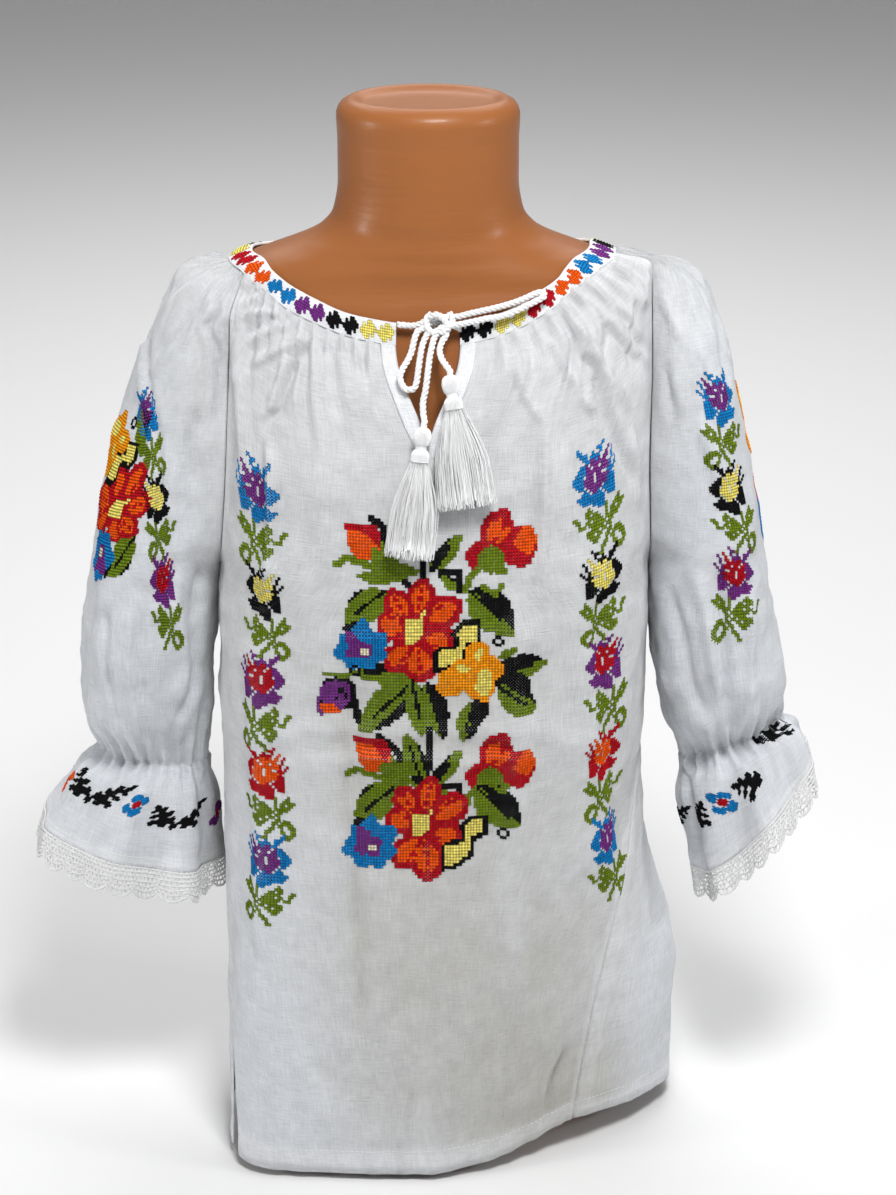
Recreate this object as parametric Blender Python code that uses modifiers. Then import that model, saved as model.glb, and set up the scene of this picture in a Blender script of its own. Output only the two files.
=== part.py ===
"""A child's Romanian ie blouse worn by a limbless dress form.

The blouse is built from the pieces that a maker cuts: a front, a back, two sleeves that run down
into their ruffles, a neckband, a facing on each side of the front slit, lace edgings, and a
drawstring with two tassels. Every cloth piece is a lofted surface given its wall by Solidify.
Sizes are in millimetres and turned into metres when a mesh is made. +Z is up and -Y is the front.
The wearer's right is -X, which somebody looking at the front sees on the left.
"""

import math

import bmesh
import bpy
import numpy as np
from mathutils import Matrix, Vector

MM = 0.001
WELD = 0.001

# ---------------------------------------------------------------- driving sizes
CLOTH_WALL = 1.1
BAND_WALL = 1.8
BAND_WIDTH = 12.0
FACING_WALL = 1.0
FACING_WIDTH = 9.0
FACING_TIP_WIDTH = 3.0
SEAM_GAP = 0.34
ARMHOLE_GAP = 0.65
FORM_CLEARANCE = 0.8
EDGE_PULLBACK = 0.9985
HEM_HEIGHT = 12.0
HEM_RELIEF = 0.5
LACE_DEPTH = 17.0
LACE_WALL = 1.2
SCALLOPS = 22
SCALLOP_DEPTH = 4.0
LACE_DROOP = 1.2
LACE_START = 1.0
CORD_DIAMETER = 3.3

FRONT_GATHERS = 22
BACK_GATHERS = 16
SHOULDER_GATHERS = 5
WRIST_GATHERS = 16
RUFFLE_WAVES = 7

# ---------------------------------------------------------------- the dress form
# One row for each level: height, half width, half depth, how far back its middle lies, and the
# power of its superellipse (2 is an ellipse, more is squarer).
FORM_COLUMNS = ("z", "half_width", "half_depth", "y_middle", "power")
FORM_LEVELS = (
    (0, 73, 54, 0, 2.3),
    (3, 76.5, 57, 0, 2.3),
    (60, 82, 62, 0, 2.3),
    (120, 82, 62, 0, 2.3),
    (180, 80, 59, -1, 2.3),
    (240, 82, 60, -2, 2.3),
    (300, 88, 64, -3, 2.3),
    (350, 95, 66, -3, 2.3),
    (390, 104, 63, -2, 2.3),
    (420, 112, 58, 0, 2.3),
    (440, 114, 53, 1, 2.2),
    (454, 111, 50, 1, 2.2),
    (463, 104.5, 47, 1, 2.1),
    (469, 97, 45, 0, 2.1),
    (473.5, 87, 44, -1, 2.0),
    (478, 74, 43, -1, 2.0),
    (482, 63.5, 42, -2, 2.0),
    (487, 54, 41, -2, 2.0),
    (496, 47, 40, -3, 2.0),
    (512, 44.5, 39.5, -3, 2.0),
    (530, 44.5, 39.5, -3, 2.0),
    (543, 45, 40, -3, 2.0),
    (548, 43.5, 38.5, -3, 2.0),
    (551, 39, 34, -3, 2.0),
)
FORM_CORNERS = 36
NECK_DISH_INSET = 7.0
NECK_DISH_DEPTH = 2.5

# ---------------------------------------------------------------- the neckband's line on the form
# Angle round the body (0 at the front, 90 at +X), the height of the band's middle line, and how
# much height its upper edge has over the middle line.
BAND_COLUMNS = ("angle", "z", "rise")
BAND_LINE = (
    (-180, 461, 5.2),
    (-150, 463, 4.6),
    (-120, 467.5, 3.4),
    (-90, 471, 2.6),
    (-70, 470.7, 2.8),
    (-50, 466, 3.6),
    (-30, 455.5, 4.7),
    (-15, 447.5, 5.4),
    (0, 443.7, 5.6),
    (15, 448.5, 5.3),
    (30, 459, 4.5),
    (45, 468, 3.4),
    (60, 472.3, 2.7),
    (90, 473.8, 2.4),
    (120, 469.5, 3.2),
    (150, 463.5, 4.6),
    (180, 461, 5.2),
)
# Where the seams of the front and of the back meet the band.
FRONT_TOP_MINUS = 62
FRONT_TOP_PLUS = 88
BACK_TOP = 118
BAND_COLUMNS_ROUND = 60

# ---------------------------------------------------------------- the yoke's line
# Row 1 of the body, which stands off the form under the band: the form's height that it stands
# over at each angle, and how far off it is.
YOKE_COLUMNS = ("angle", "z", "off")
YOKE_LINE = (
    (-180, 442, 9),
    (-150, 445, 9),
    (-115, 456, 8),
    (-90, 464, 7),
    (-54, 446, 7),
    (-40, 436, 8),
    (-20, 426, 10),
    (0, 423, 10),
    (20, 426, 10),
    (45, 444, 8),
    (65, 456, 8),
    (84, 463, 9),
    (115, 457, 8),
    (150, 445, 9),
    (180, 442, 9),
)
YOKE_ENDS = {"front_minus": 54, "front_plus": 83, "back_minus": 116, "back_plus": 113}

# ---------------------------------------------------------------- the body's sections
# One row for each section under the yoke down to the hem: its heights at the middle of the
# front, at each seam and at the middle of the back, its reach each way, the powers of its
# superellipse in the two front quarters and at the back, and the angles at which the front and
# the back panels end on each side. Down to row 5 those ends lie on the armholes, and below it on
# the side seams. Below VENT_TOP the seam on the -X side is open: it is the vent.
BODY_COLUMNS = (
    "v", "z_front", "z_seam_minus", "z_seam_plus", "z_back",
    "minus_x", "plus_x", "front", "back", "power_minus", "power_plus", "power_back",
    "front_minus", "front_plus", "back_minus", "back_plus",
)
BODY_SECTIONS = (
    (2, 403, 430, 430, 418, 105, 114, 76, 70, 2.5, 2.5, 2.5, 66, 74, 117, 114),
    (3, 370, 384, 384, 378, 108, 114, 83, 76, 2.7, 2.7, 2.7, 64, 72, 119, 116),
    (4, 334, 338, 338, 336, 108, 114, 86, 79, 2.7, 2.7, 2.7, 70, 75, 110, 108),
    (5, 300, 300, 300, 300, 108, 113, 87, 80, 2.7, 2.7, 2.7, 90, 90, 90, 90),
    (6, 236, 236, 236, 236, 108, 111, 87, 81, 2.9, 2.6, 2.7, 90, 90, 90, 90),
    (7, 165, 165, 165, 165, 107, 113, 88, 83, 3.4, 2.3, 2.6, 84, 64, 84, 64),
    (8, 80, 82, 84, 82, 106, 132, 90, 86, 4.5, 1.8, 2.5, 72, 42, 72, 42),
    (9, 4, 6, 18, 6, 106, 130, 92, 88, 6.0, 1.4, 2.5, 58, 43, 58, 43),
)
LAST_ROW = 9
VENT_TOP = 8.0
VENT_OPENING = 10.0
ARMPIT_ROW = 5
HEM_ROWS = HEM_HEIGHT / 76

# The slit: half of its opening at each row.
SLIT_COLUMNS = ("v", "half_width")
SLIT_ROWS = ((0, 15.5), (0.5, 14.6), (1.0, 12.2), (1.5, 7.5), (1.9, 3.0), (2.25, 0.0))
FACING_END = 2.75

# ---------------------------------------------------------------- the sleeves' sections
# Shoulder rows share the rows of the armholes: the reach and the height of the outermost point,
# the half depth of the sleeve, how far back its middle lies, and its superellipse's power.
SHOULDER_COLUMNS = ("v", "reach", "z_outer", "half_depth", "y_middle", "power")
SHOULDER_RIGHT = (
    (1, 122, 464, 36, 4, 2.2),
    (2, 142, 428, 44, 4, 2.6),
    (3, 158, 384, 49, 4, 2.8),
    (4, 170, 332, 47, 3, 2.8),
    (5, 176, 300, 44, 3, 2.7),
)
SHOULDER_LEFT = (
    (1, 135, 463, 14.0, 6, 2.2),
    (2, 148, 432, 44, 4, 2.6),
    (3, 159, 386, 48, 4, 2.8),
    (4, 169, 334, 46, 3, 2.8),
    (5, 175, 300, 44, 3, 2.7),
)
# Arm rows are closed rings: where the ring starts beside the body and where it is outermost, each
# with its height, then the half depth and the rest. Row 8 is where the elastic is sewn.
ARM_COLUMNS = ("v", "inner", "z_inner", "outer", "z_outer", "half_depth", "y_middle", "power")
ARM_RIGHT = (
    (6, 113, 262, 181, 268, 42, 4, 2.5),
    (7, 115, 228, 181, 236, 36, 5, 2.3),
    (8, 118, 199, 175, 208, 21, 5, 2.1),
    (9, 116, 186, 186, 196, 30, 5, 2.1),
    (10, 114, 143, 207, 167, 42, 6, 2.2),
)
ARM_LEFT = (
    (6, 116, 262, 181, 272, 42, 4, 2.5),
    (7, 122, 232, 185, 248, 36, 3, 2.3),
    (8, 133, 203, 181, 225, 20, 3, 2.1),
    (9, 133, 189, 192, 219, 29, 1, 2.1),
    (10, 143, 140, 200, 206, 37, -1, 2.2),
)
SLEEVE_HEM_ROW = 10

# ---------------------------------------------------------------- folds
# A fold is a soft ridge (height above 0) or trough from one place on a panel to another. Places
# are given as across, from -1 to 1, and row.
FOLD_COLUMNS = ("across_top", "v_top", "across_end", "v_end", "half_width", "height")
FRONT_FOLDS = (
    (-0.30, 0.3, -0.58, 3.0, 0.060, -3.0),
    (-0.42, 0.2, -0.68, 2.6, 0.060, 2.6),
    (-0.58, 0.3, -0.86, 2.0, 0.055, -2.4),
    (0.30, 0.3, 0.40, 3.4, 0.060, 2.2),
    (0.42, 0.2, 0.74, 3.9, 0.060, -3.4),
    (0.53, 0.3, 0.84, 4.2, 0.060, 3.0),
    (0.68, 0.3, 0.94, 2.6, 0.055, -2.6),
    (-0.95, 5.9, 0.75, 6.05, 0.130, 1.4),
)
BACK_FOLDS = (
    (-0.62, 0.3, -0.80, 3.4, 0.070, -3.0),
    (-0.30, 0.3, -0.42, 4.4, 0.070, 2.4),
    (0.05, 0.3, 0.02, 5.0, 0.080, -2.4),
    (0.36, 0.3, 0.46, 4.2, 0.070, 2.6),
    (0.64, 0.3, 0.82, 3.2, 0.070, -3.0),
    (-0.72, 5.4, -0.66, 9.0, 0.110, 3.0),
    (-0.15, 5.8, -0.10, 9.0, 0.130, -3.4),
    (0.45, 5.6, 0.52, 9.0, 0.120, 3.4),
)
SLEEVE_FOLDS = (
    (-0.70, 0.6, -0.50, 4.2, 0.090, -2.2),
    (-0.30, 0.5, -0.20, 3.6, 0.090, 2.2),
    (0.30, 0.5, 0.34, 3.8, 0.090, -2.2),
    (-0.55, 4.6, -0.32, 7.2, 0.080, 2.4),
    (-0.16, 5.2, -0.10, 7.4, 0.080, -2.4),
    (0.30, 5.0, 0.22, 7.3, 0.080, 2.4),
    (0.66, 5.2, 0.58, 7.3, 0.080, -2.4),
)

# ---------------------------------------------------------------- the drawstring
# Both ends of the string leave the neckband beside the slit and are tied in a bow. Each stretch
# is a hand-laid route of x, y, z.
CORD_ROUTES = {
    "drawstring_run_right": (
        (-14.6, -54.2, 450.4),
        (-11.5, -54.4, 450.2),
        (-8.2, -54.5, 449.9),
        (-5.4, -54.6, 450.3),
        (-2.6, -54.8, 451.6),
    ),
    "drawstring_run_left": (
        (15.6, -54.8, 448.4),
        (14.5, -54.7, 449.0),
        (13.4, -54.5, 449.6),
    ),
    "bow_loop_left": (
        (13.8, -53.5, 454.2),
        (19.4, -53.0, 455.4),
        (24.4, -52.4, 456.4),
        (31.0, -51.3, 457.6),
        (37.7, -50.0, 459.0),
        (43.1, -48.6, 460.4),
        (48.4, -46.9, 462.2),
        (53.6, -45.2, 464.0),
        (56.2, -45.6, 464.4),
        (56.2, -48.0, 463.2),
        (52.2, -49.9, 461.0),
        (47.4, -51.4, 459.0),
        (41.6, -53.2, 456.6),
        (34.6, -54.7, 454.6),
        (28.5, -55.5, 453.8),
        (23.2, -56.2, 452.8),
        (18.4, -56.6, 451.9),
        (14.6, -57.0, 451.2),
    ),
    "bow_loop_right": (
        (-2.4, -57.2, 449.0),
        (-4.4, -58.0, 448.6),
        (-5.8, -59.0, 446.6),
        (-6.8, -60.4, 443.4),
        (-7.8, -62.6, 439.4),
        (-9.8, -65.2, 435.4),
        (-12.2, -68.2, 432.0),
        (-13.4, -70.4, 428.8),
        (-12.4, -72.0, 425.6),
        (-9.8, -72.8, 423.2),
        (-7.2, -72.4, 423.2),
        (-5.4, -70.6, 426.4),
        (-4.6, -67.8, 431.2),
        (-3.8, -64.8, 436.4),
        (-2.8, -62.0, 441.4),
        (-1.4, -60.0, 445.0),
    ),
    "drawstring_tail_right": (
        (3.6, -59.4, 446.6),
        (2.2, -62.0, 442.6),
        (0.8, -66.0, 436.6),
        (0.0, -69.6, 430.6),
        (-1.0, -73.0, 423.6),
        (-2.3, -76.2, 417.0),
        (-2.1, -78.8, 412.6),
        (-1.5, -80.8, 409.6),
        (-2.0, -82.4, 407.6),
    ),
    "drawstring_tail_left": (
        (8.9, -58.8, 446.6),
        (6.8, -60.6, 443.6),
        (5.7, -63.4, 440.2),
        (6.5, -66.8, 437.4),
        (8.8, -70.4, 434.6),
        (10.7, -73.2, 432.2),
    ),
}
CORD_STEP = 3.6
KNOT_CENTRE = (5.2, -54.8, 452.2)
KNOT_RADII = (6.6, 3.9, 5.6)
# A tassel hangs from each tail: the middle of its head, the middle of its foot, and how far its
# threads spread sideways and from front to back at the foot.
TASSELS = {
    "tassel_right": ((-2.6, -83.6, 402.4), (-9.3, -93.0, 345.0), (12.4, 4.2)),
    "tassel_left": ((11.0, -75.2, 426.0), (18.9, -91.0, 370.0), (13.6, 4.4)),
}
# The head's profile, turned round the tassel's axis: radius and height from its middle.
TASSEL_PROFILE = (
    (0.0, 5.0), (2.2, 4.5), (3.7, 2.7), (4.1, 0.0), (3.5, -2.8), (2.4, -4.5), (2.4, -5.6),
    (3.5, -6.8), (4.3, -8.6), (4.3, -10.2), (0.0, -10.2),
)
TASSEL_TURNS = 12
STRAND_ROOT = -9.4
STRAND_RADIUS = 0.55
STRAND_RINGS = ((1.3, 5), (2.6, 11), (3.7, 16))
STRAND_CORNERS = 3

# ---------------------------------------------------------------- the rows and columns of meshes
# Pieces sewn to each other share their rows, so that their edges keep their gap.
ARMHOLE_MESH_ROWS = (0, 0.3, 0.6, 1.0, 1.5, 1.9, 2.25, 2.7, 3.3, 4, 4.5, 5)
BODY_MESH_ROWS = (*ARMHOLE_MESH_ROWS, 5.5, 6, 6.6, 7.3, 8, 8.5, 8.81, 8.86, 9)
SLEEVE_MESH_ROWS = (*ARMHOLE_MESH_ROWS, 5.5, 6, 6.6, 7.2, 7.7, 8, 8.3, 8.7, 9.2, 9.6, 10)
FULL_COLUMNS_BELOW_NECK = 5
SLEEVE_CAP_END = 6.6


# ---------------------------------------------------------------- curves through tables
def table(columns, rows):
    """The named columns of a table, each as an array."""
    values = np.array(rows, float)
    return {name: values[:, i] for i, name in enumerate(columns)}


def rows_of(columns, rows):
    """The rows of a table as dictionaries by column name."""
    return [dict(zip(columns, row)) for row in rows]


def slopes_of(keys, values):
    """Slopes for a smooth curve that never overshoots its values."""
    step = np.diff(keys).reshape((-1,) + (1,) * (values.ndim - 1))
    secant = np.diff(values, axis=0) / step
    before, after = secant[:-1], secant[1:]
    first, second = 2 * step[1:] + step[:-1], step[1:] + 2 * step[:-1]
    same_way = before * after > 0
    safe_before, safe_after = np.where(same_way, before, 1), np.where(same_way, after, 1)
    inner = (first + second) / (first / safe_before + second / safe_after)
    inner = np.where(same_way, inner, 0)
    return np.concatenate([secant[:1], inner, secant[-1:]])


def through(keys, values, at):
    """A smooth curve through the values at their keys, read at other places."""
    keys, values = np.asarray(keys, float), np.asarray(values, float)
    at = np.clip(np.asarray(at, float), keys[0], keys[-1])
    slope = slopes_of(keys, values)
    i = np.clip(np.searchsorted(keys, at, side="right") - 1, 0, len(keys) - 2)
    step = keys[i + 1] - keys[i]
    t = (at - keys[i]) / step
    shape = t.shape + (1,) * (values.ndim - 1)
    t, step = t.reshape(shape), step.reshape(shape)
    return (
        (2 * t**3 - 3 * t**2 + 1) * values[i]
        + (t**3 - 2 * t**2 + t) * step * slope[i]
        + (3 * t**2 - 2 * t**3) * values[i + 1]
        + (t**3 - t**2) * step * slope[i + 1]
    )


def ease(value, low, high):
    """0 below low, 1 above high, and smooth between."""
    t = np.clip((np.asarray(value, float) - low) / (high - low), 0, 1)
    return t * t * (3 - 2 * t)


def power_of(value, power):
    """The superellipse's signed power of a sine or cosine."""
    return np.sign(value) * np.abs(value) ** (2 / power)


def section_point(angle, minus_x, plus_x, front, back, powers):
    """The plan of a section at an angle in degrees, 0 at the front and 90 at +X.

    The powers are those of the front quarter at -X, of the one at +X, and of the back.
    """
    sine, cosine = np.sin(np.radians(angle)), np.cos(np.radians(angle))
    minus_power, plus_power, back_power = powers
    front_power = np.where(sine < 0, minus_power, plus_power)
    power = np.where(cosine < 0, back_power, front_power)
    x = np.where(sine < 0, minus_x, plus_x) * power_of(sine, power)
    y = -np.where(cosine < 0, back, front) * power_of(cosine, power)
    return x, y


# ---------------------------------------------------------------- the form's skin
FORM = table(FORM_COLUMNS, FORM_LEVELS)
BAND = table(BAND_COLUMNS, BAND_LINE)
YOKE = table(YOKE_COLUMNS, YOKE_LINE)
SLIT = table(SLIT_COLUMNS, SLIT_ROWS)


def form_point(z, angle):
    """A point of the form's skin at a height and an angle in degrees."""
    wide, deep, middle, power = (
        through(FORM["z"], FORM[name], z)
        for name in ("half_width", "half_depth", "y_middle", "power")
    )
    x, y = section_point(angle, wide, wide, deep, deep, (power, power, power))
    return np.stack([x, y + middle, np.broadcast_to(z, x.shape)], axis=-1)


def off_form(z, angle, distance):
    """A point that far outside the form's skin."""
    z, angle = np.broadcast_arrays(np.asarray(z, float), np.asarray(angle, float))
    up = form_point(z + 0.5, angle) - form_point(z - 0.5, angle)
    round_it = form_point(z, angle + 0.5) - form_point(z, angle - 0.5)
    normal = np.cross(round_it, up)
    normal /= np.linalg.norm(normal, axis=-1, keepdims=True)
    return form_point(z, angle) + np.asarray(distance)[..., None] * normal


def turned(angle):
    """The same angle between -180 and 180."""
    return (np.asarray(angle, float) + 180) % 360 - 180


def band_edge(angle, side, distance):
    """The neckband's line: side is 1 at its upper edge and -1 at its lower edge."""
    signed = turned(angle)
    z = through(BAND["angle"], BAND["z"], signed)
    rise = through(BAND["angle"], BAND["rise"], signed)
    return off_form(z + side * rise, angle, distance)


def band_angle_at(x):
    """The angle near the front at which the band's middle line has this x."""
    angles = np.linspace(-60, 60, 481)
    return float(np.interp(x, band_edge(angles, 0, FORM_CLEARANCE + BAND_WALL)[:, 0], angles))


# ---------------------------------------------------------------- the cloth's surfaces
def evenly(section, places):
    """A section's points at an even pace on each side of its middle; places run from -1 to 1."""
    fine = np.linspace(-1, 1, 241)
    steps = np.linalg.norm(np.diff(section(fine), axis=0), axis=1)
    run = np.concatenate([[0], np.cumsum(steps)])
    run -= run[len(fine) // 2]
    share = np.where(run < 0, run / -run[0], run / run[-1])
    return section(np.interp(places, share, fine))


class Panel:
    """A cloth surface through its key sections, with its relief of gathers and folds.

    A place on it is a row v, counted down from the neckband, and a place across from -1 to 1.
    Below its row closed_from, a sleeve's two edges are one.
    """

    def __init__(self, key_sections, facing, relief, closed_from=math.inf):
        self.key_sections = key_sections
        self.last_row = len(key_sections) - 1
        self.facing = facing
        self.relief = relief
        self.closed_from = closed_from

    def plain(self, v, across):
        places = np.concatenate([across, [-1, 1]])
        sections = np.array([evenly(section, places) for section in self.key_sections])
        points = through(np.arange(len(sections)), sections, np.array([v]))[0]
        if v < self.closed_from:
            return points[:-2]
        first, last = points[-2:]
        toward = np.where(places[:, None] < 0, (last - first) / 2, (first - last) / 2)
        return (points + toward * ease(np.abs(places), 0.6, 1)[:, None])[:-2]

    def normal(self, v, across):
        step = 0.02
        low, high = max(v - step, 0), min(v + step, self.last_row)
        down = self.plain(high, across) - self.plain(low, across)
        before, after = across - step, across + step
        if v >= self.closed_from:
            before, after = (before + 1) % 2 - 1, (after + 1) % 2 - 1
        along = self.plain(v, np.clip(after, -1, 1)) - self.plain(v, np.clip(before, -1, 1))
        normal = self.facing * np.cross(down, along)
        return normal / np.maximum(np.linalg.norm(normal, axis=1, keepdims=True), 1e-9)

    def at(self, v, across, lift=0.0, cloth=None):
        """Points of the relieved surface; cloth is the place across that the gathers count by."""
        cloth = across if cloth is None else cloth
        height = self.relief(cloth, np.full(cloth.shape, float(v))) + lift
        return self.plain(v, across) + self.normal(v, across) * height[:, None]


def angle_across(across, first, middle, last):
    """The angle at a place across, from the first at -1 through the middle at 0 to the last."""
    return middle + np.where(across < 0, middle - first, last - middle) * across


def body_section(row, first, middle, last, z_first, z_middle, z_last):
    """A section of the front or the back, as a function of the place across."""

    def points(across):
        angle = angle_across(across, first, middle, last)
        powers = (row["power_minus"], row["power_plus"], row["power_back"])
        x, y = section_point(
            angle, row["minus_x"], row["plus_x"], row["front"], row["back"], powers
        )
        z_end = np.where(across < 0, z_first, z_last)
        z = z_middle + (z_end - z_middle) * np.abs(across) ** 2.2
        return np.stack([x, y, z], axis=-1)

    return points


def front_section(row):
    first, last = -row["front_minus"], row["front_plus"]
    heights = (row["z_seam_minus"], row["z_front"], row["z_seam_plus"])
    return body_section(row, first, 0, last, *heights)


def back_section(row):
    first, last = row["back_plus"], 360 - row["back_minus"]
    heights = (row["z_seam_plus"], row["z_back"], row["z_seam_minus"])
    return body_section(row, first, 180, last, *heights)


def band_section(first, middle, last):
    """The section that hangs just below the neckband."""
    below = 1 + 2 * SEAM_GAP / BAND_WIDTH

    def points(across):
        angle = angle_across(across, first, middle, last)
        return band_edge(angle, -below, FORM_CLEARANCE + CLOTH_WALL)

    return points


def yoke_section(first, middle, last):
    """Row 1, which stands off the form."""

    def points(across):
        angle = angle_across(across, first, middle, last)
        z = through(YOKE["angle"], YOKE["z"], turned(angle))
        return off_form(z, angle, through(YOKE["angle"], YOKE["off"], turned(angle)))

    return points


def front_sections():
    return [
        band_section(-FRONT_TOP_MINUS, 0, FRONT_TOP_PLUS),
        yoke_section(-YOKE_ENDS["front_minus"], 0, YOKE_ENDS["front_plus"]),
        *(front_section(row) for row in rows_of(BODY_COLUMNS, BODY_SECTIONS)),
    ]


def back_sections():
    return [
        band_section(BACK_TOP, 180, 360 - BACK_TOP),
        yoke_section(YOKE_ENDS["back_plus"], 180, 360 - YOKE_ENDS["back_minus"]),
        *(back_section(row) for row in rows_of(BODY_COLUMNS, BODY_SECTIONS)),
    ]


def shoulder_half(row, end, side, sign):
    """Half of an open sleeve section, from the armhole's end at t 0 to the outside at t 1."""
    middle, depth = row["y_middle"], row["half_depth"]
    gap = abs(end[1] - middle)
    opening = math.asin(min(gap / depth, 1) ** (row["power"] / 2))
    start_x, first = abs(end[0]) + ARMHOLE_GAP, power_of(math.cos(opening), row["power"])

    def points(t):
        angle = opening + (math.pi - opening) * t
        out = (first - power_of(np.cos(angle), row["power"])) / (1 + first)
        x = start_x + (row["reach"] - start_x) * out
        y = middle + sign * max(gap, depth) * power_of(np.sin(angle), row["power"])
        z = end[2] + (row["z_outer"] - end[2]) * out
        return np.stack([side * x, y, z], axis=-1)

    return points


def shoulder_section(row, side):
    """An open sleeve section over the shoulder, from the front armhole round to the back one."""
    front_end = front_sections()[row["v"]](np.array([float(side)]))[0]
    back_end = back_sections()[row["v"]](np.array([-float(side)]))[0]
    front_half = shoulder_half(row, front_end, side, -1)
    back_half = shoulder_half(row, back_end, side, 1)

    def points(across):
        to_outside = 1 - np.abs(across)
        return np.where(across[:, None] <= 0, front_half(to_outside), back_half(to_outside))

    return points


def arm_section(row, side):
    """A closed sleeve ring that starts and ends beside the body."""
    middle, radius = (row["outer"] + row["inner"]) / 2, (row["outer"] - row["inner"]) / 2

    def points(across):
        angle = math.pi * (across + 1)
        outward = -power_of(np.cos(angle), row["power"])
        y = row["y_middle"] - row["half_depth"] * power_of(np.sin(angle), row["power"])
        z = row["z_inner"] + (row["z_outer"] - row["z_inner"]) * (outward + 1) / 2
        return np.stack([side * (middle + radius * outward), y, z], axis=-1)

    return points


def sleeve_sections(side, front_top, shoulder_rows, arm_rows):
    gap_angle = math.degrees(ARMHOLE_GAP / 70)
    first, last = front_top + gap_angle, BACK_TOP - gap_angle
    sections = [band_section(side * first, side * (first + last) / 2, side * last)]
    sections += [shoulder_section(row, side) for row in rows_of(SHOULDER_COLUMNS, shoulder_rows)]
    sections += [arm_section(row, side) for row in rows_of(ARM_COLUMNS, arm_rows)]
    return sections


# ---------------------------------------------------------------- relief: gathers, folds, hems
def fold_relief(folds, across, v):
    """The height of all folds of a panel at places on it."""
    total = np.zeros(np.broadcast(across, v).shape)
    for row in rows_of(FOLD_COLUMNS, folds):
        run_across, run_v = row["across_end"] - row["across_top"], row["v_end"] - row["v_top"]
        if abs(run_v) < abs(run_across):
            t = (across - row["across_top"]) / run_across
            away = (v - row["v_top"] - t * run_v) / row["half_width"]
        else:
            t = (v - row["v_top"]) / run_v
            away = (across - row["across_top"] - t * run_across) / row["half_width"]
        along = ease(t, -0.02, 0.22) * (1 - ease(t, 0.55, 1.05))
        total += row["height"] * along * np.exp(-(away**2))
    return total


def gather_phase(count, across):
    """How many gathers lie between the panel's middle and a place, unevenly spaced."""
    return count / 2 * (across + 0.05 * np.sin(5.3 * across))


def gather_places(count):
    """The places across at which the gathers' crests and troughs lie: a mesh's columns."""
    fine = np.linspace(-1, 1, 2001)
    phase = gather_phase(count, fine)
    places = np.interp(np.linspace(phase[0], phase[-1], 2 * count + 1), phase, fine)
    places[count] = 0
    return places


def gather_relief(count, across, v, reach):
    """Small gathers under the neckband, uneven in height, that die out by a row."""
    turns = gather_phase(count, across) - gather_phase(count, -1.0)
    height = 1.1 + 0.35 * np.sin(7.1 * across + 1.3)
    fade = (0.4 + 0.6 * ease(v, 0.0, 0.35)) * (1 - ease(v, 0.5, reach))
    return height * fade * np.cos(2 * math.pi * turns)


def hem_relief(v):
    """The doubled hem stands out over its height."""
    start = LAST_ROW - HEM_ROWS
    return HEM_RELIEF * ease(v, start - 0.03, start)


def front_relief(across, v):
    """The front's gathers, folds and hem. Beside the slit it lies flat, under the facing."""
    flat = (1 - ease(np.abs(across), 0.13, 0.26)) * (1 - ease(v, 2.6, 3.3))
    edge = 1 - ease(np.abs(across), 0.93, 1.0)
    relief = gather_relief(FRONT_GATHERS, across, v, 2.0) + fold_relief(FRONT_FOLDS, across, v)
    return relief * (1 - flat) * edge + hem_relief(v)


def back_relief(across, v):
    edge = 1 - ease(np.abs(across), 0.93, 1.0)
    relief = gather_relief(BACK_GATHERS, across, v, 2.2) + fold_relief(BACK_FOLDS, across, v)
    return relief * edge + hem_relief(v)


def sleeve_relief(across, v):
    """Shoulder gathers, folds, the shirring at the elastic and the ruffle's waves."""
    turn = math.pi * (across + 1)
    shoulder = 0.7 * np.cos(SHOULDER_GATHERS * turn) * (1 - ease(v, 0.6, 1.6))
    edge = 1 - ease(np.abs(across), 0.84, 1.0) * (1 - ease(v, 4.9, 5.9))
    shirring = 1.2 * np.cos(WRIST_GATHERS * turn) * ease(v, 6.8, 7.8) * (1 - ease(v, 8.3, 9.4))
    waves = 3.2 * np.cos(RUFFLE_WAVES * turn + 0.7 * np.sin(turn)) * ease(v, 8.4, 10.0)
    return (shoulder + fold_relief(SLEEVE_FOLDS, across, v)) * edge + shirring + waves


def make_panels():
    """The surfaces of the front, the back and both sleeves."""
    right = sleeve_sections(-1, FRONT_TOP_MINUS, SHOULDER_RIGHT, ARM_RIGHT)
    left = sleeve_sections(1, FRONT_TOP_PLUS, SHOULDER_LEFT, ARM_LEFT)
    return {
        "front": Panel(front_sections(), 1, front_relief),
        "back": Panel(back_sections(), 1, back_relief),
        "sleeve_right": Panel(right, -1, sleeve_relief, ARMPIT_ROW),
        "sleeve_left": Panel(left, 1, sleeve_relief, ARMPIT_ROW),
    }


# ---------------------------------------------------------------- meshes
def strip_faces(upper, lower):
    """Faces between two rows of corners, one of which may have half as many steps."""
    steps = min(len(upper), len(lower)) - 1
    above, below = (len(upper) - 1) // steps, (len(lower) - 1) // steps
    faces = []
    for j in range(steps):
        top = upper[above * j : above * (j + 1) + 1]
        bottom = lower[below * j : below * (j + 1) + 1]
        faces.append((*top[::-1], *bottom))
    return faces


def linked(name, mesh, finish, group):
    made = bpy.data.objects.new(name, mesh)
    mesh.materials.append(finish)
    mesh.shade_smooth()
    group.objects.link(made)
    return made


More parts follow.
